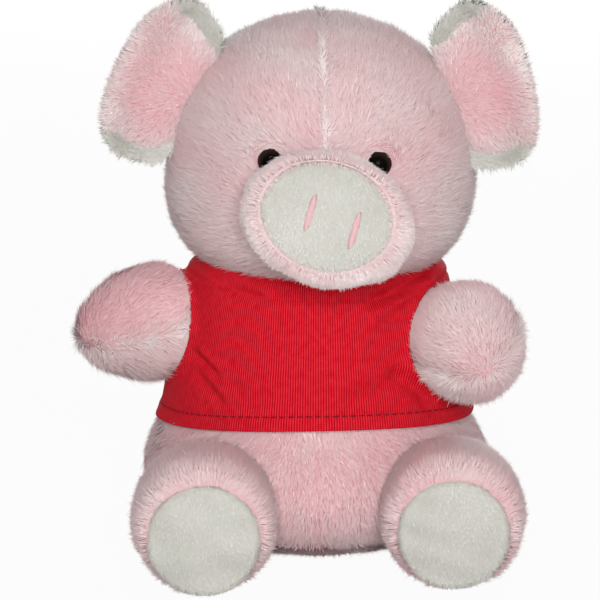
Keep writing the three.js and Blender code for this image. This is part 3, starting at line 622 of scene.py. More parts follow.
@cache
def knit():
    """Warp-knitted polyester jersey, dyed red: fine upright columns of loops with a dull shine,
    painted shade dark between the loops and a small painted highlight, a bright dot, on each loop's
    crown. Columns 0.75 mm apart, loops 0.6 mm."""
    shirt = bpy.context.scene.pig_shirt
    material, tree, shader = new_material(
        "red_polyester_knit", {"Roughness": 0.6, "Specular IOR Level": 0.05},
    )
    place = node(tree, "UVMap", {}, uv_map="cloth")
    round_body, up = (node(tree, "SeparateXYZ", {0: place}, k) for k in (0, 1))
    column = node(tree, "Math", {0: round_body, 1: shirt.wale}, operation="DIVIDE")
    across = node(tree, "Math", {0: column}, operation="FRACT")
    centred = node(tree, "Math", {0: across, 1: 0.5}, operation="SUBTRACT")
    aside = node(tree, "Math", {0: centred}, operation="ABSOLUTE")
    course = node(tree, "Math", {0: up, 1: 0.8 * shirt.wale}, operation="DIVIDE")
    slant = node(tree, "Math", {0: aside, 1: 1.6}, operation="MULTIPLY")
    slanted = node(tree, "Math", {0: course, 1: slant}, operation="ADD")
    turned_by = node(tree, "Math", {0: slanted, 1: 2 * math.pi}, operation="MULTIPLY")
    loop = node(tree, "Math", {0: turned_by}, operation="SINE")
    bent_by = node(tree, "Math", {0: aside, 1: 3.1}, operation="MULTIPLY")
    ridge = node(tree, "Math", {0: bent_by}, operation="COSINE")
    crown = node(tree, "Math", {0: loop, 1: 0.1, 2: 0.9}, operation="MULTIPLY_ADD")
    height = node(tree, "Math", {0: ridge, 1: crown}, operation="MULTIPLY")
    cloud = node(tree, "TexNoise", {"Vector": place, "Scale": 1 / (2.2 * MM), "Detail": 3.0})
    cloud = node(tree, "Math", {0: 0.55, 1: cloud}, operation="ADD")
    shade = node(tree, "Math", {0: height, 1: cloud}, operation="MULTIPLY")
    # Painted light and shade: the red darkens to painted shade where the loops are low and pales to
    # a painted highlight on their crowns.
    red = with_stops(node(tree, "ValToRGB", {0: shade}), (
        (0.1, tinted(shirt.red, BLACK, 0.6)), (0.62, shirt.red),
        (1.0, tinted(shirt.red, linear("#ff6068"), 0.25)),
    ))
    wide = node(tree, "TexNoise", {"Vector": place, "Scale": 1 / (14 * MM), "Detail": 2.0})
    wide = node(tree, "Math", {0: wide, 1: 0.35}, operation="MULTIPLY")
    dark = tinted(shirt.red, BLACK, 0.25)
    shaded = node(tree, "Mix", {0: wide, 6: red, 7: dark}, 2, data_type="RGBA")
    feed(tree, shader.inputs["Base Color"], shaded)
    bump = node(tree, "Bump", {"Strength": 0.7, "Distance": 0.25 * MM, "Height": height})
    feed(tree, shader.inputs["Normal"], bump)
    return material


@cache
def sewing_thread(name, value):
    """Spun polyester sewing thread: a soft shine and plies wound 0.4 mm apart, with painted shade
    in the grooves between the plies and a faint painted highlight on them.
    """
    material, tree, shader = new_material(name, {"Roughness": 0.55, "Specular IOR Level": 0.1})
    place = node(tree, "TexCoord", {}, "Object")
    wave = {"Vector": place, "Scale": 1 / (0.4 * MM) / 3, "Distortion": 1.5}
    plies = node(tree, "TexWave", wave, 1)
    # Painted shade and highlight: the plies' pattern darkens the thread in its grooves and whitens
    # it faintly on the plies.
    low, high = tinted(value, BLACK, 0.25), tinted(value, WHITE, 0.01)
    wound = node(tree, "Mix", {0: plies, 6: low, 7: high}, 2, data_type="RGBA")
    feed(tree, shader.inputs["Base Color"], wound)
    bump = node(tree, "Bump", {"Strength": 0.4, "Distance": 0.1 * MM, "Height": plies})
    feed(tree, shader.inputs["Normal"], bump)
    return material


@cache
def eye_plastic():
    """Moulded acrylic safety eye, polished: black with a brown cast at the rim and faint scuffs."""
    small = bpy.context.scene.pig_small
    material, tree, shader = new_material(
        "polished_black_acrylic", {"IOR": 1.49, "Specular IOR Level": 0.03},
    )
    place = node(tree, "TexCoord", {}, "Object")
    scuffs = node(tree, "TexNoise", {"Vector": place, "Scale": 1 / (1.2 * MM), "Detail": 4.0})
    share = node(tree, "TexCoord", {}, "Generated")
    centred = node(tree, "VectorMath", {0: share, 1: (0.5, 0.5, 0.5)}, operation="SUBTRACT")
    aside = node(tree, "VectorMath", {0: centred, 1: (1, 0, 1)}, operation="MULTIPLY")
    away = node(tree, "VectorMath", {0: aside}, "Value", operation="LENGTH")
    rim = node(tree, "MapRange", {"Value": away, "From Min": 0.3, "From Max": 0.52})
    cast = node(tree, "Math", {0: scuffs, 1: 0.6, 2: 0.5}, operation="MULTIPLY_ADD")
    brown = node(tree, "Math", {0: rim, 1: cast}, operation="MULTIPLY")
    dark = {0: brown, 6: small.eye_black, 7: small.eye_rim}
    feed(tree, shader.inputs["Base Color"], node(tree, "Mix", dark, 2, data_type="RGBA"))
    rough = node(tree, "Math", {0: scuffs, 1: 0.2, 2: 0.12}, operation="MULTIPLY_ADD")
    feed(tree, shader.inputs["Roughness"], rough)
    return material


@cache
def washer_plastic():
    """Moulded white polypropylene, slightly waxy, with faint flow marks."""
    material, tree, shader = new_material("moulded_polypropylene", {"Roughness": 0.45, "IOR": 1.49})
    place = node(tree, "TexCoord", {}, "Object")
    flow = node(tree, "TexNoise", {"Vector": place, "Scale": 1 / (3 * MM), "Detail": 2.0})
    whites = {0: flow, 6: linear("#dedcd4"), 7: linear("#f0eee8")}
    feed(tree, shader.inputs["Base Color"], node(tree, "Mix", whites, 2, data_type="RGBA"))
    return material


# Covers and pile


def cover_of(name, grid, place, body, *stands_for, fill=0.8, short=False, backing=None, cap=None,
             cell=5 * MM):
    """A padded cover, of the short fabric or of the long. With a cap, its stuffing is simulated."""
    backing = backing or (short_backing() if short else pile_backing())
    cover = ringed(name, [grid], place, backing)
    if cap:
        stuffed(cover, cap, cell)
    return dress(cover, body, "short_pile" if short else "long_pile", *stands_for, fill=fill)


def surface_of(piece):
    """A piece's points, their directions, and the corners of its triangles."""
    mesh = piece.data
    mesh.calc_loop_triangles()
    points = np.empty(len(mesh.vertices) * 3, np.float32)
    normals = np.empty(len(mesh.vertices) * 3, np.float32)
    corners = np.empty(len(mesh.loop_triangles) * 3, np.int32)
    mesh.vertices.foreach_get("co", points)
    mesh.vertices.foreach_get("normal", normals)
    mesh.loop_triangles.foreach_get("vertices", corners)
    points, normals = (values.reshape(-1, 3).astype(float) for values in (points, normals))
    return points, normals, corners.reshape(-1, 3)


def scattered(piece, per_mm2, rng):
    """Random places on a piece's surface, with the surface's direction at each."""
    points, normals, corners = surface_of(piece)
    a, b, c = (points[corners[:, k]] for k in range(3))
    area = np.linalg.norm(np.cross(b - a, c - a), axis=1) / 2
    count = int(area.sum() / MM**2 * per_mm2)
    pick = rng.choice(len(corners), count, p=area / area.sum())
    u, v = rng.random((2, count, 1))
    over = u + v > 1
    u, v = np.where(over, 1 - u, u), np.where(over, 1 - v, v)
    w = 1 - u - v
    na, nb, nc = (normals[corners[pick, k]] for k in range(3))
    return w * a[pick] + u * b[pick] + v * c[pick], unit(w * na + u * nb + v * nc)


def tufts_of(roots, per_tuft, rng):
    """For each root, the root that leads its tuft."""
    leaders = rng.choice(len(roots), max(1, len(roots) // per_tuft), replace=False)
    tree = kdtree.KDTree(len(leaders))
    for i in leaders:
        tree.insert(roots[i], int(i))
    tree.balance()
    return np.array([tree.find(p)[1] for p in roots])


def grow(name, cover, body, lay, seed, keep=None, short=False, length=None, per_mm2=None,
         width=None, lean=52, droop=14, tone=0.5, gather=0.04, tuft=None, uneven=0.1, bright=0.03,
         soft=0.8, lit=(0, 0, 0)):
    """Pile on a cover, of the short fabric or of the long. lay gives the direction that it is
    brushed in at each root, lean is in degrees from upright at the root and droop is what it leans
    more at the tip. tone is 0 for pale and 1 for pink. Length, lean and tone are numbers or
    functions of the roots. gather is how much the tips of a tuft close, uneven is how much the
    tones differ from fibre to fibre, bright is the share of them painted palest as painted
    highlights, where single fibres would catch the light, soft is how much a fibre takes its
    shading from the form below and not from its own face, and lit is where fibres that stand up at
    the form's sides catch the light from."""
    pile = bpy.context.scene.pig_pile
    rng = np.random.default_rng(seed)
    roots, normals = scattered(cover, per_mm2 or pile.per_mm2, rng)
    if keep is not None:
        stays = keep(roots)
        roots, normals = roots[stays], normals[stays]
    count = len(roots)
    leader = tufts_of(roots, tuft or pile.tuft, rng)
    length, lean, tone = (
        value(roots) if callable(value) else value for value in (length or pile.length, lean, tone)
    )

    def varied(broad, across, offset, by_tuft, own):
        """What differs from place to place, from tuft to tuft and from fibre to fibre."""
        pattern = broad * waves(roots, across, seed + offset)
        return pattern + by_tuft * rng.normal(size=count)[leader] + own * rng.normal(size=count)

    def leaning(at):
        return normals * np.cos(at)[:, None] + way * np.sin(at)[:, None]

    way = lay(roots)
    way = unit(way - normals * np.sum(way * normals, 1, keepdims=True))
    swirl = varied(0.28, 14 * MM, 1, 0.06, 0.24)[:, None]
    way = unit(way * np.cos(swirl) + np.cross(normals, way) * np.sin(swirl))
    lean_at = np.clip(np.radians(lean + varied(5, 17 * MM, 2, 2, 6)), LEAST_LEAN, MOST_LEAN)
    tip_at = np.clip(lean_at + np.radians(droop), LEAST_LEAN, MOST_DROOP)
    reach = length * rng.uniform(0.75, 1.15, count)
    reach = (reach * np.where(rng.random(count) < WILD, 1.3, 1))[:, None]
    middle = roots + leaning(lean_at) * reach / 2
    tip = middle + leaning(tip_at) * reach / 2
    tip += (tip[leader] - tip) * (gather * rng.uniform(0.4, 1, count))[:, None]
    middle += (middle[leader] - middle) * (gather * 0.35)
    for points in (roots, middle, tip):
        points[:, 2] = np.maximum(points[:, 2], FLOOR_GAP)

    side = unit(np.cross(tip - roots, normals) + 1e-9)
    face = np.cross(unit(tip - roots), side)
    twist = rng.uniform(-0.7, 0.7, count)[:, None]
    side = side * np.cos(twist) + face * np.sin(twist)
    half = side * ((width or pile.width) / 2 * rng.uniform(0.75, 1.2, count))[:, None]
    outward = np.sum(np.cross(half, middle - roots) * normals, 1, keepdims=True) > 0
    half = np.where(outward, half, -half)
    corners = np.stack([roots, middle - half, middle + half, tip], 1)
    faces = (np.arange(count) * 4)[:, None, None] + np.array([[0, 2, 1], [1, 2, 3]])
    faces = faces.reshape(-1, 3)
    blade = unit(np.cross(half, middle - roots))
    shading = unit(soft * unit(normals + np.array(lit)) + (1 - soft) * blade)

    tone_at = tone + 0.11 * waves(roots, 22 * MM, seed + 3) + 0.04 * rng.normal(size=count)[leader]
    # A share bright of the fibres takes tone 0: painted highlights, white in the long pile and
    # near-white glints in the short.
    tone_at = np.where(rng.random(count) < bright, 0, tone_at + uneven * rng.normal(size=count))
    tone_at = np.clip(tone_at, 0.02, 0.98)
    u = tone_at[:, None] + np.array([0, -MAP_HALF, MAP_HALF, 0])
    v = np.broadcast_to([0.0, 0.5, 0.5, 1.0], (count, 4))
    table = np.stack([u, v], -1).reshape(-1, 2)
    piece = make_piece(
        name, corners.reshape(-1, 3), faces, short_fibre() if short else pile_fibre(),
        ("OFBake", table[faces.ravel()]), np.repeat(shading, 4, axis=0),
    )
    return dress(piece, body, "short_pile" if short else "long_pile")


def short_nap(name, cover, body, place, level, seed, lit=(0, 0, 0)):
    """Short pile on a pad's face, above a level on its axis, brushed down and a little aside."""
    down = np.array((0.2, -1, 0)) @ axes_of(place)
    return grow(
        name, cover, body, lambda roots: np.tile(down, (len(roots), 1)), seed,
        keep=lambda roots: moved(roots, place.inverted())[:, 2] > level, short=True,
        length=bpy.context.scene.pig_pile.short, per_mm2=15, width=FINE, lean=42, droop=16,
        gather=0.25, tuft=8, uneven=0.22, bright=0.035, lit=lit,
    )


# Places


def anchor(joint):
    return Vector(JOINTS[joint]["pos_m"])


def head_place():
    turn = Matrix.Rotation(bpy.context.scene.pig_head.turn, 4, "Z")
    return Matrix.Translation(anchor("head_turn")) @ turn


def torso_middle():
    return Vector((anchor("tail_wag").x, anchor("head_turn").y, 0))


def limb_place(joint, droop=0.0):
    """A limb's place: its Z points out along the limb and its Y is as upright as that allows."""
    across = -Vector(JOINTS[joint]["axis"]).normalized()
    ahead = Vector((across.y, -across.x, 0))
    out = ahead * math.cos(droop) - Vector((0, 0, math.sin(droop)))
    up = out.cross(across)
    return Matrix.Translation(anchor(joint)) @ Matrix((across, up, out)).transposed().to_4x4()


def snout_place():
    """The snout's place: its Z points out of the face."""
    head = bpy.context.scene.pig_head
    pitch = Matrix.Rotation(math.pi / 2 - head.snout_pitch, 4, "X")
    middle = Matrix.Translation((head.snout_sideways, 0, head.snout_centre))
    return head_place() @ middle @ (pitch @ Matrix.Rotation(head.snout_roll, 4, "Z"))


def ear_place(name, fold):
    """An ear's place: its X lies along the seam and its Y points out of the head."""
    joint = f"ear_{name}_fold"
    along = Vector(JOINTS[joint]["axis"]).normalized()
    front = head_place().to_3x3() @ Vector((0, -1, 0))
    turn = Matrix((along, front.cross(along), front)).transposed().to_4x4()
    return Matrix.Translation(anchor(joint)) @ turn @ Matrix.Rotation(fold, 4, "X")


# Head


def head_profile(inset):
    head = bpy.context.scene.pig_head
    top = head.bottom + head.height - inset
    return profile(HEAD_SHARES, head.width / 2 - inset, head.bottom + inset, top)


def head_flattening(height, inset):
    head = bpy.context.scene.pig_head
    full = (head.depth / 2 - inset) / (head.width / 2 - inset)
    low, high = (head.bottom + share * head.height for share in (0.11, 0.28))
    return 1 + (full - 1) * smooth(height, low, high)


def head_front(x, height, inset):
    radius = radius_at(head_profile(inset), height)
    return -math.sqrt(radius**2 - x**2) * head_flattening(height, inset)


def in_head(points, inset):
    """Where points in the row frame lie inside the head's form."""
    local = moved(points, head_place().inverted())
    shape = head_profile(inset)
    flat = head_flattening(local[:, 2], inset)
    inside = np.hypot(local[:, 0], local[:, 1] / flat) < radius_at(shape, local[:, 2])
    return inside & (local[:, 2] > shape[0, 1]) & (local[:, 2] < shape[-1, 1])


def eye_place(side):
    """An eye's place: its Z points out of the skin, up and aside."""
    head = bpy.context.scene.pig_head
    x = side * head.eye_spread / 2
    height = head.eye_centre - x * math.tan(head.eye_tilt)
    pitch = Matrix.Rotation(math.radians(80), 4, "X")
    turn = pitch @ Matrix.Rotation(side * math.radians(22), 4, "Y")
    return head_place() @ Matrix.Translation((x, head_front(x, height, 4 * MM), height)) @ turn


class MESH_OT_pig_head(bpy.types.Operator):
    """Head cover with its seam down the forehead, and its pile"""

    bl_idname = "mesh.pig_head"
    bl_label = "Head"

    def execute(self, context):
        eye_radius = context.scene.pig_head.eye_width / 2
        place = head_place()
        back, basis = place.inverted(), axes_of(place)
        grid = turned(head_profile(COVER))
        grid[..., 1] *= head_flattening(grid[..., 2], COVER)
        grid[..., 1] *= 1 - 0.008 * hill(grid[..., 0], 1.3 * MM)
        cover = cover_of(
            "head_cover", grid, place, "head", "head_skin_right", "head_skin_left",
            "head_filling", fill=0.85, cap=0.8 * MM,
        )

        to_snout = snout_place().inverted()
        middle = np.array((back @ snout_place()).translation) + np.array((0, -30 * MM, 0))
        eyes = [eye_place(side).inverted() for _, side in SIDES]

        def keep(roots):
            """Outside the snout, the eyes and the neck."""
            at = moved(roots, to_snout)
            clear = np.hypot(at[:, 0], at[:, 1] / SNOUT_FLAT) > SNOUT_HOLE
            clear |= at[:, 2] < 0
            for eye in eyes:
                at = moved(roots, eye)
                clear &= (off_axis(at) > eye_radius + 0.1 * MM) | (at[:, 2] < -6 * MM)
            return clear & ~in_torso(roots, -1 * MM)

        def lay(roots):
            """Away from the snout, parted at the seam, down behind, and towards the eyes."""
            local = moved(roots, back)
            way = local - middle
            way[:, 2] += 0.2 * np.abs(way[:, 1])
            way[:, 2] -= 120 * MM * smooth(local[:, 1], -5 * MM, 25 * MM)
            forehead = (local[:, 2] > 110 * MM) * (local[:, 1] < 0)
            parting = hill(local[:, 0], 5 * MM) * forehead
            way[:, 0] += np.clip(local[:, 0] / MM, -1, 1) * parting * 25 * MM
            way = unit(way @ basis)
            for eye in eyes:
                at = moved(roots, eye)
                near = hill(off_axis(at) - eye_radius, 1.6 * MM) * (at[:, 1] > 0)
                way += 2 * unit(np.array(eye.inverted().translation) - roots) * near[:, None]
            return way

        def tone(roots):
            local = moved(roots, back)
            facing = smooth(-local[:, 1], 5 * MM, 40 * MM) * smooth(local[:, 2], 96 * MM, 120 * MM)
            return 0.26 + 0.18 * facing

        for name, side in SIDES:
            grow(
                f"head_pile_{name}", cover, "head", lay, 10 + side, tone=tone, per_mm2=10,
                keep=lambda roots, side=side: keep(roots) & (moved(roots, back)[:, 0] * side > 0),
                width=FINE,
            )

        def in_seam(roots):
            local = moved(roots, back)
            drift = 0.5 * MM * waves(roots, 14 * MM, 9)
            near = np.abs(local[:, 0] - drift) < 0.5 * MM
            return keep(roots) & near & (local[:, 2] > 112 * MM)

        def both_ways(roots):
            way = np.random.default_rng(15).normal(size=(len(roots), 3))
            return (way * (1, 0, 0.4) + (0, 0, 0.7)) @ basis

        grow(
            "head_seam_pile", cover, "head", both_ways, 14, keep=in_seam, tone=0.0, per_mm2=13,
            length=3.6 * MM, lean=20, droop=20, gather=0, uneven=0.02,
        )
        return {"FINISHED"}


class MESH_OT_pig_snout(bpy.types.Operator):
    """Furry roll round a short-pile disc, with two satin-stitched nostrils"""

    bl_idname = "mesh.pig_snout"
    bl_label = "Snout"

    def execute(self, context):
        head = context.scene.pig_head
        place = snout_place()
        back, basis = place.inverted(), axes_of(place)
        wide, flat = head.snout_width / 2, head.snout_height / head.snout_width
        grid = turned((spline(ROLL_SHARES, 5) * (wide, MM))[::-1])
        out = smooth(off_axis(grid), 0.74 * wide, 0.93 * wide)
        grid[..., 1] *= flat - 0.055 * out
        rise = np.array(back.to_3x3() @ Vector((-0.4, 0, 1)) * head.disc_rise) * (1, 1, 0)
        grid += rise * (1 - out)[..., None]
        grid[..., 2] += 0.6 * MM * waves(grid, 13 * MM, 5) * out
        grid[..., :2] *= 1 + 0.02 * waves(grid, 11 * MM, 8)[..., None] * out[..., None]
        roll = cover_of(
            "snout_roll", grid, place, "head", "snout_band", "snout_filling",
            backing=pile_backing("pale_pile_backing", 0.7),
        )

        def share_out(roots):
            local = moved(roots, back) - rise
            return np.hypot(local[:, 0], local[:, 1] / flat) / wide

        def parted(roots):
            """Towards the disc inside the roll's crest, and away from it outside."""
            way = (moved(roots, back) - rise) * (1, 1, 0)
            way[:, 2] = -0.25 * np.linalg.norm(way, axis=1)
            return np.where(share_out(roots) < 0.76, -1, 1)[:, None] * way @ basis

        grow(
            "snout_roll_pile", roll, "head", parted, 21,
            keep=lambda roots: (share_out(roots) > 0.7) & ~in_head(roots, 3 * MM),
            length=lambda roots: 1.8 * MM + 1.2 * MM * smooth(share_out(roots), 0.75, 0.83),
            lean=lambda roots: 28 + 22 * smooth(share_out(roots), 0.765, 0.84), droop=22,
            tone=lambda roots: 0.3 - 0.18 * smooth(share_out(roots), 0.74, 0.86),
            per_mm2=14, gather=0.05, uneven=0.08, bright=0.04, lit=0.8 * basis[2],
        )
        dome = 1.2 * MM
        grid = pad(head.disc_width / 2, head.disc_front, 3.2 * MM, dome, 6, flat=flat) + rise
        disc = cover_of("snout_face", grid, place, "head", "snout_disc", fill=0.6, short=True)
        level = head.disc_front - 1.4 * MM
        short_nap("snout_face_pile", disc, "head", place, level, 22, lit=0.8 * basis[2])
        for name, _ in SIDES:
            self.nostril(name, place, head.disc_front + dome)
        return {"FINISHED"}

    def nostril(self, name, place, level):
        """Satin stitches side by side on the disc, at a level in front of the head's axis."""
        small = bpy.context.scene.pig_small
        low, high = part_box(f"nostril_{name}")
        centre = place.inverted() @ ((low + high) / 2)
        count = int(small.nostril_length / SATIN_STEP)
        t = np.linspace(-1, 1, 7)
        height = level + 0.2 * MM + 0.6 * MM * (1 - t**2)
        rows = []
        for i in range(count):
            along = (i + 0.5) / count * 2 - 1
            half = small.nostril_width / 2 * math.sqrt(max(0.15, 1 - abs(along) ** 3))
            y = centre.y + along * small.nostril_length / 2 + t * 0.5 * MM
            rows.append(tube(np.stack([centre.x + t * half, y, height], -1), 0.24 * MM, 6, 1))
        thread = sewing_thread("satin_stitch_thread", tuple(small.nostril_pink))
        satin = ringed(f"nostril_{name}_satin", rows, place, thread, THREAD_WELD)
        dress(satin, "head", "thread", f"nostril_{name}")


class MESH_OT_pig_eyes(bpy.types.Operator):
    """Two polished safety eyes, and the washers behind them"""

    bl_idname = "mesh.pig_eyes"
    bl_label = "Eyes"

    def execute(self, context):
        radius = context.scene.pig_head.eye_width / 2
        turn = np.linspace(0, np.pi / 2, 14)
        dome = np.stack([radius * np.cos(turn), 2.2 * MM + 3.2 * MM * np.sin(turn)], -1)
        grid = turned(np.concatenate([np.array(SHANK) * MM, dome]), 48)
        for name, side in SIDES:
            eye = ringed(f"eye_{name}_dome", [grid], eye_place(side), eye_plastic())
            dress(eye, "head", "eye", f"eye_{name}")
            washer = frame["nodes"][f"eye_washer_{name}"]
            washer.data.materials.clear()
            washer.data.materials.append(washer_plastic())
        return {"FINISHED"}


# Ears


def ear_layer(mirror, front):
    """A padded layer of an ear as a grid of rings: the pile in front, or the lining, which rolls
    forward round the ear's two edges near the head."""
    head = bpy.context.scene.pig_head
    edge = spline(EAR_SHARES, AROUND_PAD // len(EAR_SHARES), closed=True)[:-1]
    edge = edge * (head.ear_width, head.ear_reach)
    t = np.arange(AROUND_PAD) / AROUND_PAD
    roll = np.maximum(
        smooth(t, -0.02, 0.03) * (1 - smooth(t, 0.15, 0.24)),
        smooth(t, 0.62, 0.7) * (1 - smooth(t, 0.86, 0.92)),
    )
    middle = np.array((0, head.ear_reach / 2))
    reach = np.sin(np.linspace(0, np.pi / 2, 14))
    outward, thick = (1, 2.0 * MM) if front else (-1, 1.9 * MM)
    layers = []
    for up in (1, -1):
        for r in reach[::up]:
            if front:
                grown, curl = 1 - 0.13 * roll * smooth(r, 0.5, 1), 0
            else:
                grown = 1 + 0.05 * roll * smooth(r, 0.7, 1)
                curl = 4.2 * MM * roll * smooth(r, 0.72, 1) ** 1.3
            flat = middle + (edge - middle) * (r * grown)[:, None]
            puffed = thick * math.sqrt(max(0.0, 1 - r**4)) if up == outward else 0
            level = outward * (0.15 * MM + puffed)
            share_out = smooth(flat[:, 1], 7 * MM, head.ear_reach)
            sides = (2 * flat[:, 0] / head.ear_width) ** 2
            cup = share_out * (3 * MM * share_out + 4.5 * MM * sides)
            layers.append(np.stack([mirror * flat[:, 0], flat[:, 1], level + cup + curl], -1))
    return np.array(layers)


class MESH_OT_pig_ears(bpy.types.Operator):
    """Two ears, each long pile in front and short pile behind, cupped forward"""

    bl_idname = "mesh.pig_ears"
    bl_label = "Ears"

    def execute(self, context):
        for (name, side), fold in zip(SIDES, (8, 4)):
            self.ear(f"ear_{name}", side, ear_place(name, math.radians(fold)))
        return {"FINISHED"}

    def ear(self, body, side, place):
        head, pile = bpy.context.scene.pig_head, bpy.context.scene.pig_pile
        back, basis = place.inverted(), axes_of(place)
        front, lining = (
            cover_of(
                f"{body}_{layer}", ear_layer(-side, not short), place, body, f"{body}_{panel}",
                fill=0.5, short=short,
            )
            for layer, panel, short in (("inner", "front", False), ("lining", "back", True))
        )

        def from_middle(roots):
            way = moved(roots, back) - np.array((0, -2 * MM, 0))
            way[:, 2] = -0.6 * np.linalg.norm(way, axis=1)
            return way @ basis

        def rim(roots):
            """0 in the ear's middle and 1 near its rim."""
            local = moved(roots, back)
            x, y = local[:, 0] / (0.5 * head.ear_width), (local[:, 1] - 8 * MM) / (16 * MM)
            return np.hypot(x, y)

        def clear(roots):
            return ~in_head(roots, 2 * MM)

        grow(
            f"{body}_inner_pile", front, body, from_middle, 31 + side, keep=clear,
            length=3 * MM, droop=12, per_mm2=10, gather=0.1,
            tone=lambda roots: 0.78 - 0.66 * smooth(rim(roots), 0.3, 0.85),
        )
        grow(
            f"{body}_lining_pile", lining, body, from_middle, 35 + side, keep=clear, short=True,
            length=pile.short, per_mm2=9, width=FINE, lean=50, tuft=8, tone=0.3,
            bright=0.25, lit=1.1 * basis[2],
        )
        grow(
            f"{body}_fringe", lining, body, from_middle, 37 + side,
            keep=lambda roots: (rim(roots) > 0.84) & clear(roots), short=True, length=3 * MM,
            per_mm2=8, lean=62, droop=8, gather=0.2, tone=0.4, lit=0.6 * basis[2],
        )


# Torso and limbs


def torso_profile(inset):
    body = bpy.context.scene.pig_body
    bottom = -0.5 * MM + min(inset, inset * 0.45)
    return profile(TORSO_SHARES, body.torso_width / 2 - inset, bottom, body.torso_height - inset)


def torso_flattening(inset):
    body = bpy.context.scene.pig_body
    return (body.torso_depth / 2 - inset) / (body.torso_width / 2 - inset)


def torso_gap(points, inset=None):
    """How far points in the row frame are, level, from the torso's form, with the shirt on it if
    no inset is given."""
    shirt = bpy.context.scene.pig_shirt
    inset = -(shirt.ease + shirt.cloth) if inset is None else inset
    local = points - np.array(torso_middle())
    radius = radius_at(torso_profile(inset), local[:, 2])
    return np.hypot(local[:, 0], local[:, 1] / torso_flattening(inset)) - radius


def in_torso(points, inset):
    top = torso_profile(inset)[-1, 1]
    return (torso_gap(points, inset) < 0) & (points[:, 2] < top)


def hem_height(x, y):
    """Height of the shirt's lower edge round the toy."""
    shirt, body = bpy.context.scene.pig_shirt, bpy.context.scene.pig_body
    tilt = math.tan(math.radians(1)) * x
    return shirt.hem_sides + shirt.hem_rise * (y / (body.torso_depth / 2)) ** 2 + tilt


class MESH_OT_pig_torso(bpy.types.Operator):
    """Torso cover and its pile, and the curled tail"""

    bl_idname = "mesh.pig_torso"
    bl_label = "Torso and tail"

    def execute(self, context):
        middle = np.array(torso_middle())
        grid = turned(torso_profile(COVER))
        grid[..., 1] *= torso_flattening(COVER)
        x, y, z = (grid[..., k] for k in range(3))
        seam = hill(x, 1.5 * MM) * (y < 0) * smooth(z, 2 * MM, 10 * MM)
        grid[..., 1] *= 1 - 0.02 * seam
        cover = cover_of(
            "torso_cover", grid + middle, Matrix(), "body", "torso_skin_front",
            "torso_skin_back", "torso_filling", "beanbag", cap=0.6 * MM,
        )
        legs = [limb_place(f"leg_{name}_lift").inverted() for name, _ in SIDES]

        def keep(roots):
            """Below the shirt's hem and outside the legs."""
            local = roots - middle
            clear = roots[:, 2] < hem_height(local[:, 0], local[:, 1]) + HEM_LAP
            for leg in legs:
                at = moved(roots, leg)
                clear &= (off_axis(at) > LEG_HOLE) | (at[:, 2] < -12 * MM)
            return clear

        def lay(roots):
            local = roots - middle
            down = np.full(len(roots), -40 * MM)
            way = np.stack([local[:, 0] * 0.5, np.zeros(len(roots)), down], -1)
            low = smooth(roots[:, 2], 14 * MM, 2 * MM)[:, None]
            return way * (1 - low) + local * (1, 1, 0) * low

        def tone(roots):
            local = roots - middle
            seam = hill(local[:, 0], 1.2 * MM) * (local[:, 1] < 0)
            facing = smooth(-local[:, 1], 10 * MM, 44 * MM)
            return 0.5 + 0.2 * facing * smooth(roots[:, 2], 8 * MM, 26 * MM) + 0.2 * seam

        grow("torso_pile", cover, "body", lay, 41, keep=keep, tone=tone, per_mm2=6)
        self.tail(context.scene.pig_body)
        return {"FINISHED"}

    def tail(self, body):
        """One curl and a bit, from just inside the back."""
        centre = anchor("tail_wag")
        turns = np.linspace(0, 2 * np.pi * 1.15, 60)
        path = np.stack([
            body.tail_loop * (1 - np.cos(turns)), 5 * MM + 9.5 * MM * turns / (2 * np.pi),
            body.tail_loop * np.sin(turns),
        ], -1)
        path = np.concatenate([np.linspace((0, -2 * MM, 0), path[0], 8, endpoint=False), path])
        thick = (body.tail_radius - 1.4 * MM) * np.linspace(1.15, 0.85, len(path))
        curl = tube(path, thick, 16, 5)
        tail = cover_of("tail_curl", curl, Matrix.Translation(centre), "tail", "tail", fill=0.7)
        spine = path + np.array(centre)

        def to_tip(roots):
            away = np.linalg.norm(roots[:, None] - spine[None], axis=2)
            return unit(np.gradient(spine, axis=0))[np.argmin(away, axis=1)]

        grow(
            "tail_pile", tail, "tail", to_tip, 43, keep=lambda roots: ~in_torso(roots, 2 * MM),
            length=2.4 * MM, lean=48, per_mm2=4,
        )


def limb_profile(shares, radius, reach, fullness=2.0):
    """A ball behind, squarer where fullness is over 2, and the shares' outline in front."""
    turn = np.linspace(-np.pi / 2, 0, 14)[:-1]
    wide, deep = (
        radius * np.maximum(value, 0) ** (2 / fullness) for value in (np.cos(turn), -np.sin(turn))
    )
    wide[0] = 0
    return np.concatenate([np.stack([wide, -deep], -1), profile(shares, radius, 0, reach)])


def arm_profile(inset):
    body = bpy.context.scene.pig_body
    return limb_profile(ARM_SHARES, body.arm_radius - inset, body.arm_reach - inset, fullness=2.8)


def arm_place(name):
    return limb_place(f"arm_{name}_raise", bpy.context.scene.pig_body.arm_droop)


def in_arm(points, name, inset):
    """Where points in the row frame lie inside an arm's form."""
    local = moved(points, arm_place(name).inverted())
    shape = arm_profile(inset)
    inside = off_axis(local) < radius_at(shape, local[:, 2])
    return inside & (local[:, 2] > shape[0, 1]) & (local[:, 2] < shape[-1, 1])


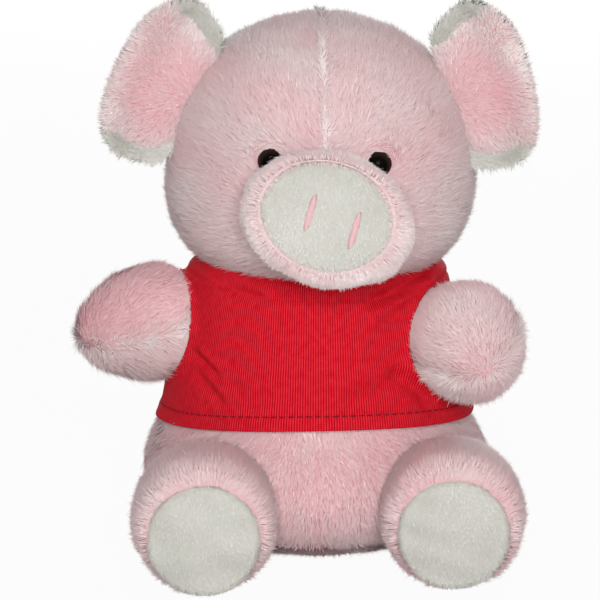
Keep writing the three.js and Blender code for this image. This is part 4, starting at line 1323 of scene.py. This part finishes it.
class MESH_OT_pig_arms(bpy.types.Operator):
    """Two stuffed arms and their pile"""

    bl_idname = "mesh.pig_arms"
    bl_label = "Arms"

    def execute(self, context):
        for (name, side), seam, pink in zip(SIDES, (25, -6), (0.1, 0.55)):
            self.arm(f"arm_{name}", side, arm_place(name), math.radians(seam), pink)
        return {"FINISHED"}

    def arm(self, body, side, place, seam_turn, pink):
        """An arm with its seam turned up this far in front, and this much pinker above it."""
        radius = bpy.context.scene.pig_body.arm_radius
        back, basis = place.inverted(), axes_of(place)
        across = np.array((-math.sin(seam_turn), math.cos(seam_turn), 0))
        grid = turned(arm_profile(COVER), AROUND_LIMB)
        grid[..., :2] *= (1 - 0.03 * hill(grid @ across, 2 * MM))[..., None]
        cover = cover_of(
            f"{body}_cover", grid, place, body, f"{body}_skin_upper", f"{body}_skin_lower",
            f"{body}_filling", cap=0.8 * MM, cell=4 * MM,
        )

        def from_seam(roots):
            return moved(roots, back) @ across

        def near_shirt(roots):
            return 1 - smooth(torso_gap(roots), 0.5 * MM, 6 * MM)

        def lay(roots):
            """Back to the shoulder, but to the sides at the seam and near the tip."""
            local, off = moved(roots, back), from_seam(roots)
            near = 0.9 * np.clip(off / (2 * MM), -1, 1) * hill(off, 6 * MM)
            end = smooth(local[:, 2], 8 * MM, 19 * MM)[:, None]
            way = across * near[:, None] + local * (1, 1, 0) / radius * (0.2 + end)
            return (way - np.array((0, 0, 1)) * (1 - 0.8 * end)) @ basis

        def lean(roots):
            return 52 - 18 * near_shirt(roots) - 8 * hill(from_seam(roots), 2 * MM)

        def length(roots):
            return 4 * MM + 1.4 * MM * smooth(-from_seam(roots), 2 * MM, 12 * MM)

        def tone(roots):
            off = from_seam(roots)
            above = 0.3 + pink * smooth(off, -1 * MM, 5 * MM)
            return above - 0.2 * near_shirt(roots) - 0.2 * hill(off, 2 * MM)

        def clear(roots):
            return ~in_torso(roots, 0.5 * MM)

        def in_seam(roots):
            tufts = waves(roots, 9 * MM, 55) > -0.5
            drift = 0.5 * MM * waves(roots, 9 * MM, 56)
            return tufts & (abs(from_seam(roots) + drift) < 1.3 * MM) & clear(roots)

        grow(
            f"{body}_pile", cover, body, lay, 51 + side, keep=clear, tone=tone, lean=lean,
            droop=20, length=length, per_mm2=9, width=FINE, bright=0.05, uneven=0.08, soft=0.88,
            lit=0.25 * basis[2] + (0, -0.3, 0),
        )
        grow(
            f"{body}_seam_pile", cover, body, lay, 57 + side, keep=in_seam, tone=0.16, lean=26,
            droop=24, length=4.4 * MM, per_mm2=8, lit=0.25 * basis[2] + (0, -0.25, 0),
        )


class MESH_OT_pig_legs(bpy.types.Operator):
    """Two stuffed legs with short-pile soles"""

    bl_idname = "mesh.pig_legs"
    bl_label = "Legs"

    def execute(self, context):
        for name, side in SIDES:
            self.leg(f"leg_{name}", side, limb_place(f"leg_{name}_lift"))
        return {"FINISHED"}

    def leg(self, name, side, place):
        body = bpy.context.scene.pig_body
        back, basis = place.inverted(), axes_of(place)
        shape = limb_profile(LEG_SHARES, body.leg_radius - 2 * MM, body.leg_reach - 2.4 * MM)
        cover = cover_of(
            f"{name}_cover", turned(shape, AROUND_LIMB), place, name, f"{name}_skin",
            f"{name}_filling", cap=0.6 * MM, cell=4 * MM,
        )

        def from_sole(roots):
            """Places on the leg's axes, from the middle of the sole."""
            return moved(roots, back) + (0, body.sole_drop, 0)

        def keep(roots):
            """Outside the torso and the sole."""
            local = from_sole(roots)
            ahead = local[:, 2] > body.leg_reach - 5 * MM
            on_sole = ahead & (off_axis(local) < body.sole_width / 2 - 0.6 * MM)
            return ~in_torso(roots, 1 * MM) & ~on_sole

        def lay(roots):
            """Back to the hip, but outwards on the rim round the sole."""
            local = from_sole(roots)
            radial = local * (1, 1, 0)
            front = smooth(local[:, 2], 11 * MM, 17 * MM)[:, None]
            along = np.array((0, 0, -14 * MM)) + radial * 0.1
            return (along * (1 - front) + radial * front) @ basis

        grow(
            f"{name}_pile", cover, name, lay, 61 + side, keep=keep, per_mm2=9, width=FINE,
            tone=lambda roots: 0.5 - 0.12 * smooth(from_sole(roots)[:, 2], 14 * MM, 19 * MM),
        )
        rim = body.leg_reach - 1.6 * MM
        grid = pad(body.sole_width / 2, rim, 3 * MM, 1.1 * MM, 7 + side, drop=body.sole_drop)
        sole = cover_of(f"{name}_foot", grid, place, name, f"{name}_sole", fill=0.6, short=True)
        short_nap(f"{name}_foot_pile", sole, name, place, rim - 1 * MM, 65 + side)


# Shirt


class MESH_OT_pig_shirt(bpy.types.Operator):
    """Sleeveless knitted shirt with a turned hem and its stitches"""

    bl_idname = "mesh.pig_shirt"
    bl_label = "Shirt"

    def execute(self, context):
        shirt = context.scene.pig_shirt
        grid, normals, above, width, length = self.shell(shirt)
        points, faces = self.with_armholes(grid, normals, shirt)
        places = self.cloth_places(faces, above, width)
        cloth = make_piece("knit_shirt", points, faces, knit(), ("cloth", places))
        self.drop_loose(cloth)
        thick = cloth.modifiers.new("cloth thickness", "SOLIDIFY")
        thick.thickness, thick.offset = shirt.cloth, -1
        thickened = baked(cloth)
        cloth.modifiers.clear()
        cloth.data = thickened
        dress(cloth, "body", "knit", "shirt_front", "shirt_back")
        stitches = dress(self.stitches(grid, normals, above, shirt), "body", "knit")
        return {"FINISHED"}

    def shell(self, shirt):
        """The cloth from hem to neckline as a grid, how it faces, its height above the hem, and how
        wide and long it is when cut open and laid flat."""
        middle = np.array(torso_middle())
        outer = -(shirt.ease + shirt.cloth)
        shape, flat = torso_profile(outer), torso_flattening(outer)
        turn = np.linspace(0, 2 * np.pi, SHIRT_AROUND, endpoint=False)
        run = lengths_along(shape)

        def at(distance):
            """Points of the torso's form, by their distance along its outline from the floor up."""
            r, z = (np.interp(distance, run, shape[:, k]) for k in (0, 1))
            return np.stack([r * np.cos(turn), r * flat * np.sin(turn), z + 0 * r], -1)

        wide = radius_at(shape, shirt.hem_sides)
        hem = hem_height(wide * np.cos(turn), wide * flat * np.sin(turn))
        low = np.interp(hem, shape[:, 1], run)
        high = np.full(SHIRT_AROUND, run[-1])
        under = low + 0.3 * (run[-1] - low)
        for _ in range(16):
            half = (under + high) / 2
            hidden = in_head(at(half) + middle, shirt.tuck)
            high, under = np.where(hidden, half, high), np.where(hidden, under, half)
        distance = low + (high - low) * np.linspace(0, 1, SHIRT_ROWS)[:, None]
        grid, above = at(distance), distance - low
        around = np.roll(grid, -1, 1) - np.roll(grid, 1, 1)
        normals = unit(np.cross(around, np.gradient(grid, axis=0)))
        out = self.folds(grid, above, high - distance, shirt)
        width = float(2 * np.pi * wide * (1 + flat) / 2)
        length = float((high - low).max())
        return grid + normals * out[..., None] + middle, normals, above, width, length

    def folds(self, grid, above_hem, below_neck, shirt):
        """How far the cloth stands out from the torso: the turned hem, the line of stitches that
        draws it in, the turned edge at the neck, and soft folds from the armpits."""
        hem = shirt.hem_width
        out = 0.45 * MM * (1 - smooth(above_hem, hem - 0.5 * MM, hem + 1.2 * MM))
        out = out - 0.5 * MM * hill(above_hem - hem, 0.6 * MM)
        out = out + 0.3 * MM * waves(grid * (1, 1, 0.6), 18 * MM, 71)
        out = out - 0.5 * MM * hill(below_neck - 7.5 * MM, 0.8 * MM)
        x, z = grid[..., 0] / MM, grid[..., 2] / MM
        for start, end, wide, deep in SHIRT_FOLDS:
            run = np.subtract(end, start)
            length = np.hypot(*run)
            run = run / length
            along = (x - start[0]) * run[0] + (z - start[1]) * run[1]
            off = (x - start[0]) * -run[1] + (z - start[1]) * run[0]
            ends = smooth(along, -2, 2) * (1 - smooth(along, length - 3, length + 3))
            valley = hill(off, wide) - 0.7 * hill(off - 2 * wide, wide)
            out = out - deep * MM * valley * ends * (grid[..., 1] < 0)
        return out

    def with_armholes(self, grid, normals, shirt):
        """Lifts the grid's points to a turned edge round each arm, cuts the cloth away inside and
        draws what is left there to the arm's form."""
        points, faces = grid.reshape(-1, 3), ring_faces(SHIRT_ROWS, SHIRT_AROUND)
        hole = arm_profile(shirt.armhole)
        for name, _ in SIDES:
            local = moved(points, arm_place(name).inverted())
            gap = off_axis(local) - radius_at(hole, local[:, 2])
            near = hill(gap, 2.2 * MM) * (local[:, 2] > hole[0, 1])
            points += normals.reshape(-1, 3) * (0.9 * MM * near)[:, None]
        gone = in_arm(points, "left", shirt.armhole) | in_arm(points, "right", shirt.armhole)
        faces = faces[~gone[faces].all(axis=1)]
        used = np.unique(faces)
        for name, _ in SIDES:
            place = arm_place(name)
            near = used[in_arm(points[used], name, shirt.armhole)]
            local = moved(points[near], place.inverted())
            wide_at = radius_at(hole, local[:, 2])
            local[:, :2] *= (wide_at / np.maximum(off_axis(local), 1e-6))[:, None]
            points[near] = moved(local, place)
        return points, faces

    def cloth_places(self, faces, above, width):
        """Places on the flat cloth in metres, one pair for each corner of each face."""
        u = np.broadcast_to(np.arange(SHIRT_AROUND) / SHIRT_AROUND * width, above.shape)
        pair = np.stack([u.reshape(-1)[faces], above.reshape(-1)[faces]], -1)
        across = pair[..., 0]
        seam = (across.max(1) - across.min(1) > width / 2)[:, None] & (across < width / 2)
        pair[..., 0] = np.where(seam, across + width, across)
        return pair.reshape(-1, 2)

    def stitches(self, grid, normals, above_hem, shirt):
        """A row of lock stitches along the top of the hem."""
        lifted = grid + normals * 0.15 * MM
        line = np.array([
            [np.interp(shirt.hem_width, above_hem[:, j], lifted[:, j, axis]) for axis in range(3)]
            for j in range(SHIRT_AROUND)
        ])
        line = np.concatenate([line, line[:1]])
        run = lengths_along(line)
        count = int(run[-1] / STITCH_STEP)
        lift = np.sin(np.linspace(0, np.pi, 6))[:, None] * 0.2 * MM - 0.1 * MM
        rings = []
        for i in range(count):
            start = (i + 0.14) / count * run[-1]
            spots = np.linspace(start, start + STITCH, 6)
            path = np.stack([np.interp(spots, run, line[:, a]) for a in range(3)], -1)
            path = path + lift * unit((path - np.array(torso_middle())) * (1, 1, 0))
            rings.append(tube(path, 0.2 * MM, 6, 2))
        thread = sewing_thread("seam_thread", tuple(shirt.thread))
        return ringed("shirt_hem_stitches", rings, Matrix(), thread, THREAD_WELD)

    def drop_loose(self, piece):
        shape = bmesh.new()
        shape.from_mesh(piece.data)
        loose = [v for v in shape.verts if not v.link_faces]
        bmesh.ops.delete(shape, geom=loose, context="VERTS")
        shape.to_mesh(piece.data)
        shape.free()


# Studio


class SCENE_OT_pig_studio(bpy.types.Operator):
    """Pale floor, soft light and the camera"""

    bl_idname = "scene.pig_studio"
    bl_label = "Studio"

    def execute(self, context):
        scene, studio = context.scene, context.scene.pig_studio
        scene.view_settings.view_transform = "Standard"
        corners = np.array([(-1, -1, 0), (1, -1, 0), (1, 1, 0), (-1, 1, 0)]) * float(FLOOR_REACH)
        make_piece("floor", corners, [[0, 1, 2, 3]], self.floor_finish(studio))
        self.even_light(scene, studio.sky)
        target = torso_middle() + Vector(LOOK_AT) * MM
        for name, (place, width) in LAMPS.items():
            light = bpy.data.lights.new(name, "AREA")
            light.size, light.energy = width, getattr(studio, name)
            lamp = bpy.data.objects.new(name, light)
            scene.collection.objects.link(lamp)
            lamp.location = place
            lamp.rotation_euler = (target - Vector(place)).to_track_quat("-Z", "Y").to_euler()

        camera = bpy.data.objects.new("camera", bpy.data.cameras.new("camera"))
        scene.collection.objects.link(camera)
        away = Vector((0, -math.cos(studio.elevation), math.sin(studio.elevation)))
        camera.location = target + away * studio.distance
        camera.rotation_euler = (-away).to_track_quat("-Z", "Y").to_euler()
        camera.data.lens, camera.data.sensor_width = studio.lens, 36
        camera.data.clip_start, camera.data.clip_end = 0.01, 20
        scene.camera = camera
        return {"FINISHED"}

    def even_light(self, scene, sky):
        """White to the camera and in reflections, and dimmer as the light that falls on the toy."""
        world = bpy.data.worlds.new("even_light")
        scene.world = world
        world.use_nodes = True
        tree = world.node_tree
        direct = node(tree, "LightPath", {}, "Is Camera Ray")
        rays = direct.node.outputs
        mirrored = {0: rays["Is Glossy Ray"], 1: rays["Is Transmission Ray"]}
        mirrored = node(tree, "Math", mirrored, operation="MAXIMUM")
        seen = node(tree, "Math", {0: direct, 1: mirrored}, operation="MAXIMUM")
        strength = node(tree, "Math", {0: seen, 1: 1 - sky, 2: sky}, operation="MULTIPLY_ADD")
        feed(tree, tree.nodes["Background"].inputs["Strength"], strength)
        feed(tree, tree.nodes["Background"].inputs["Color"], WHITE)

    def floor_finish(self, studio):
        """Matt painted board, pale: white to the camera, with the toy's shadow kept."""
        material, tree, shader = new_material(
            "matt_painted_board", {"Roughness": 0.8, "Specular IOR Level": 0.2},
        )
        place = node(tree, "TexCoord", {}, "Object")
        grain = node(tree, "TexNoise", {"Vector": place, "Scale": 1 / (2.5 * MM), "Detail": 2.0})
        pale = tinted(studio.floor, WHITE, 0.4)
        board = node(tree, "Mix", {0: grain, 6: studio.floor, 7: pale}, 2, data_type="RGBA")
        feed(tree, shader.inputs["Base Color"], board)
        direct = node(tree, "LightPath", {}, "Is Camera Ray")
        share = node(tree, "Math", {0: direct, 1: 0.95}, operation="MULTIPLY")
        glow = node(tree, "Emission", {"Strength": 1.0})
        seen = node(tree, "MixShader", {0: share, 1: shader.outputs[0], 2: glow})
        feed(tree, tree.nodes["Material Output"].inputs[0], seen)
        return material


OPERATORS = (
    MESH_OT_pig_torso,
    MESH_OT_pig_legs,
    MESH_OT_pig_arms,
    MESH_OT_pig_head,
    MESH_OT_pig_snout,
    MESH_OT_pig_eyes,
    MESH_OT_pig_ears,
    MESH_OT_pig_shirt,
    SCENE_OT_pig_studio,
)


class VIEW3D_PT_pig(bpy.types.Panel):
    """Lists the pieces of the plush pig"""

    bl_idname = "VIEW3D_PT_pig"
    bl_label = "Plush Pig"
    bl_space_type = "VIEW_3D"
    bl_region_type = "UI"
    bl_category = "Plush Pig"

    def draw(self, context):
        for operator in OPERATORS:
            self.layout.operator(operator.bl_idname)


GROUPS = {
    "pig_body": PigBody,
    "pig_head": PigHead,
    "pig_pile": PigPile,
    "pig_shirt": PigShirt,
    "pig_small": PigSmallParts,
    "pig_studio": PigStudio,
}


def register():
    for kind in (*GROUPS.values(), *OPERATORS, VIEW3D_PT_pig):
        bpy.utils.register_class(kind)
    for name, group in GROUPS.items():
        setattr(bpy.types.Scene, name, PointerProperty(type=group))


def unregister():
    for name in GROUPS:
        delattr(bpy.types.Scene, name)
    for kind in (VIEW3D_PT_pig, *reversed(OPERATORS), *reversed(GROUPS.values())):
        bpy.utils.unregister_class(kind)


def main():
    register()
    for operator in OPERATORS:
        group, name = operator.bl_idname.split(".")
        getattr(getattr(bpy.ops, group), name)()


if __name__ == "__main__":
    main()
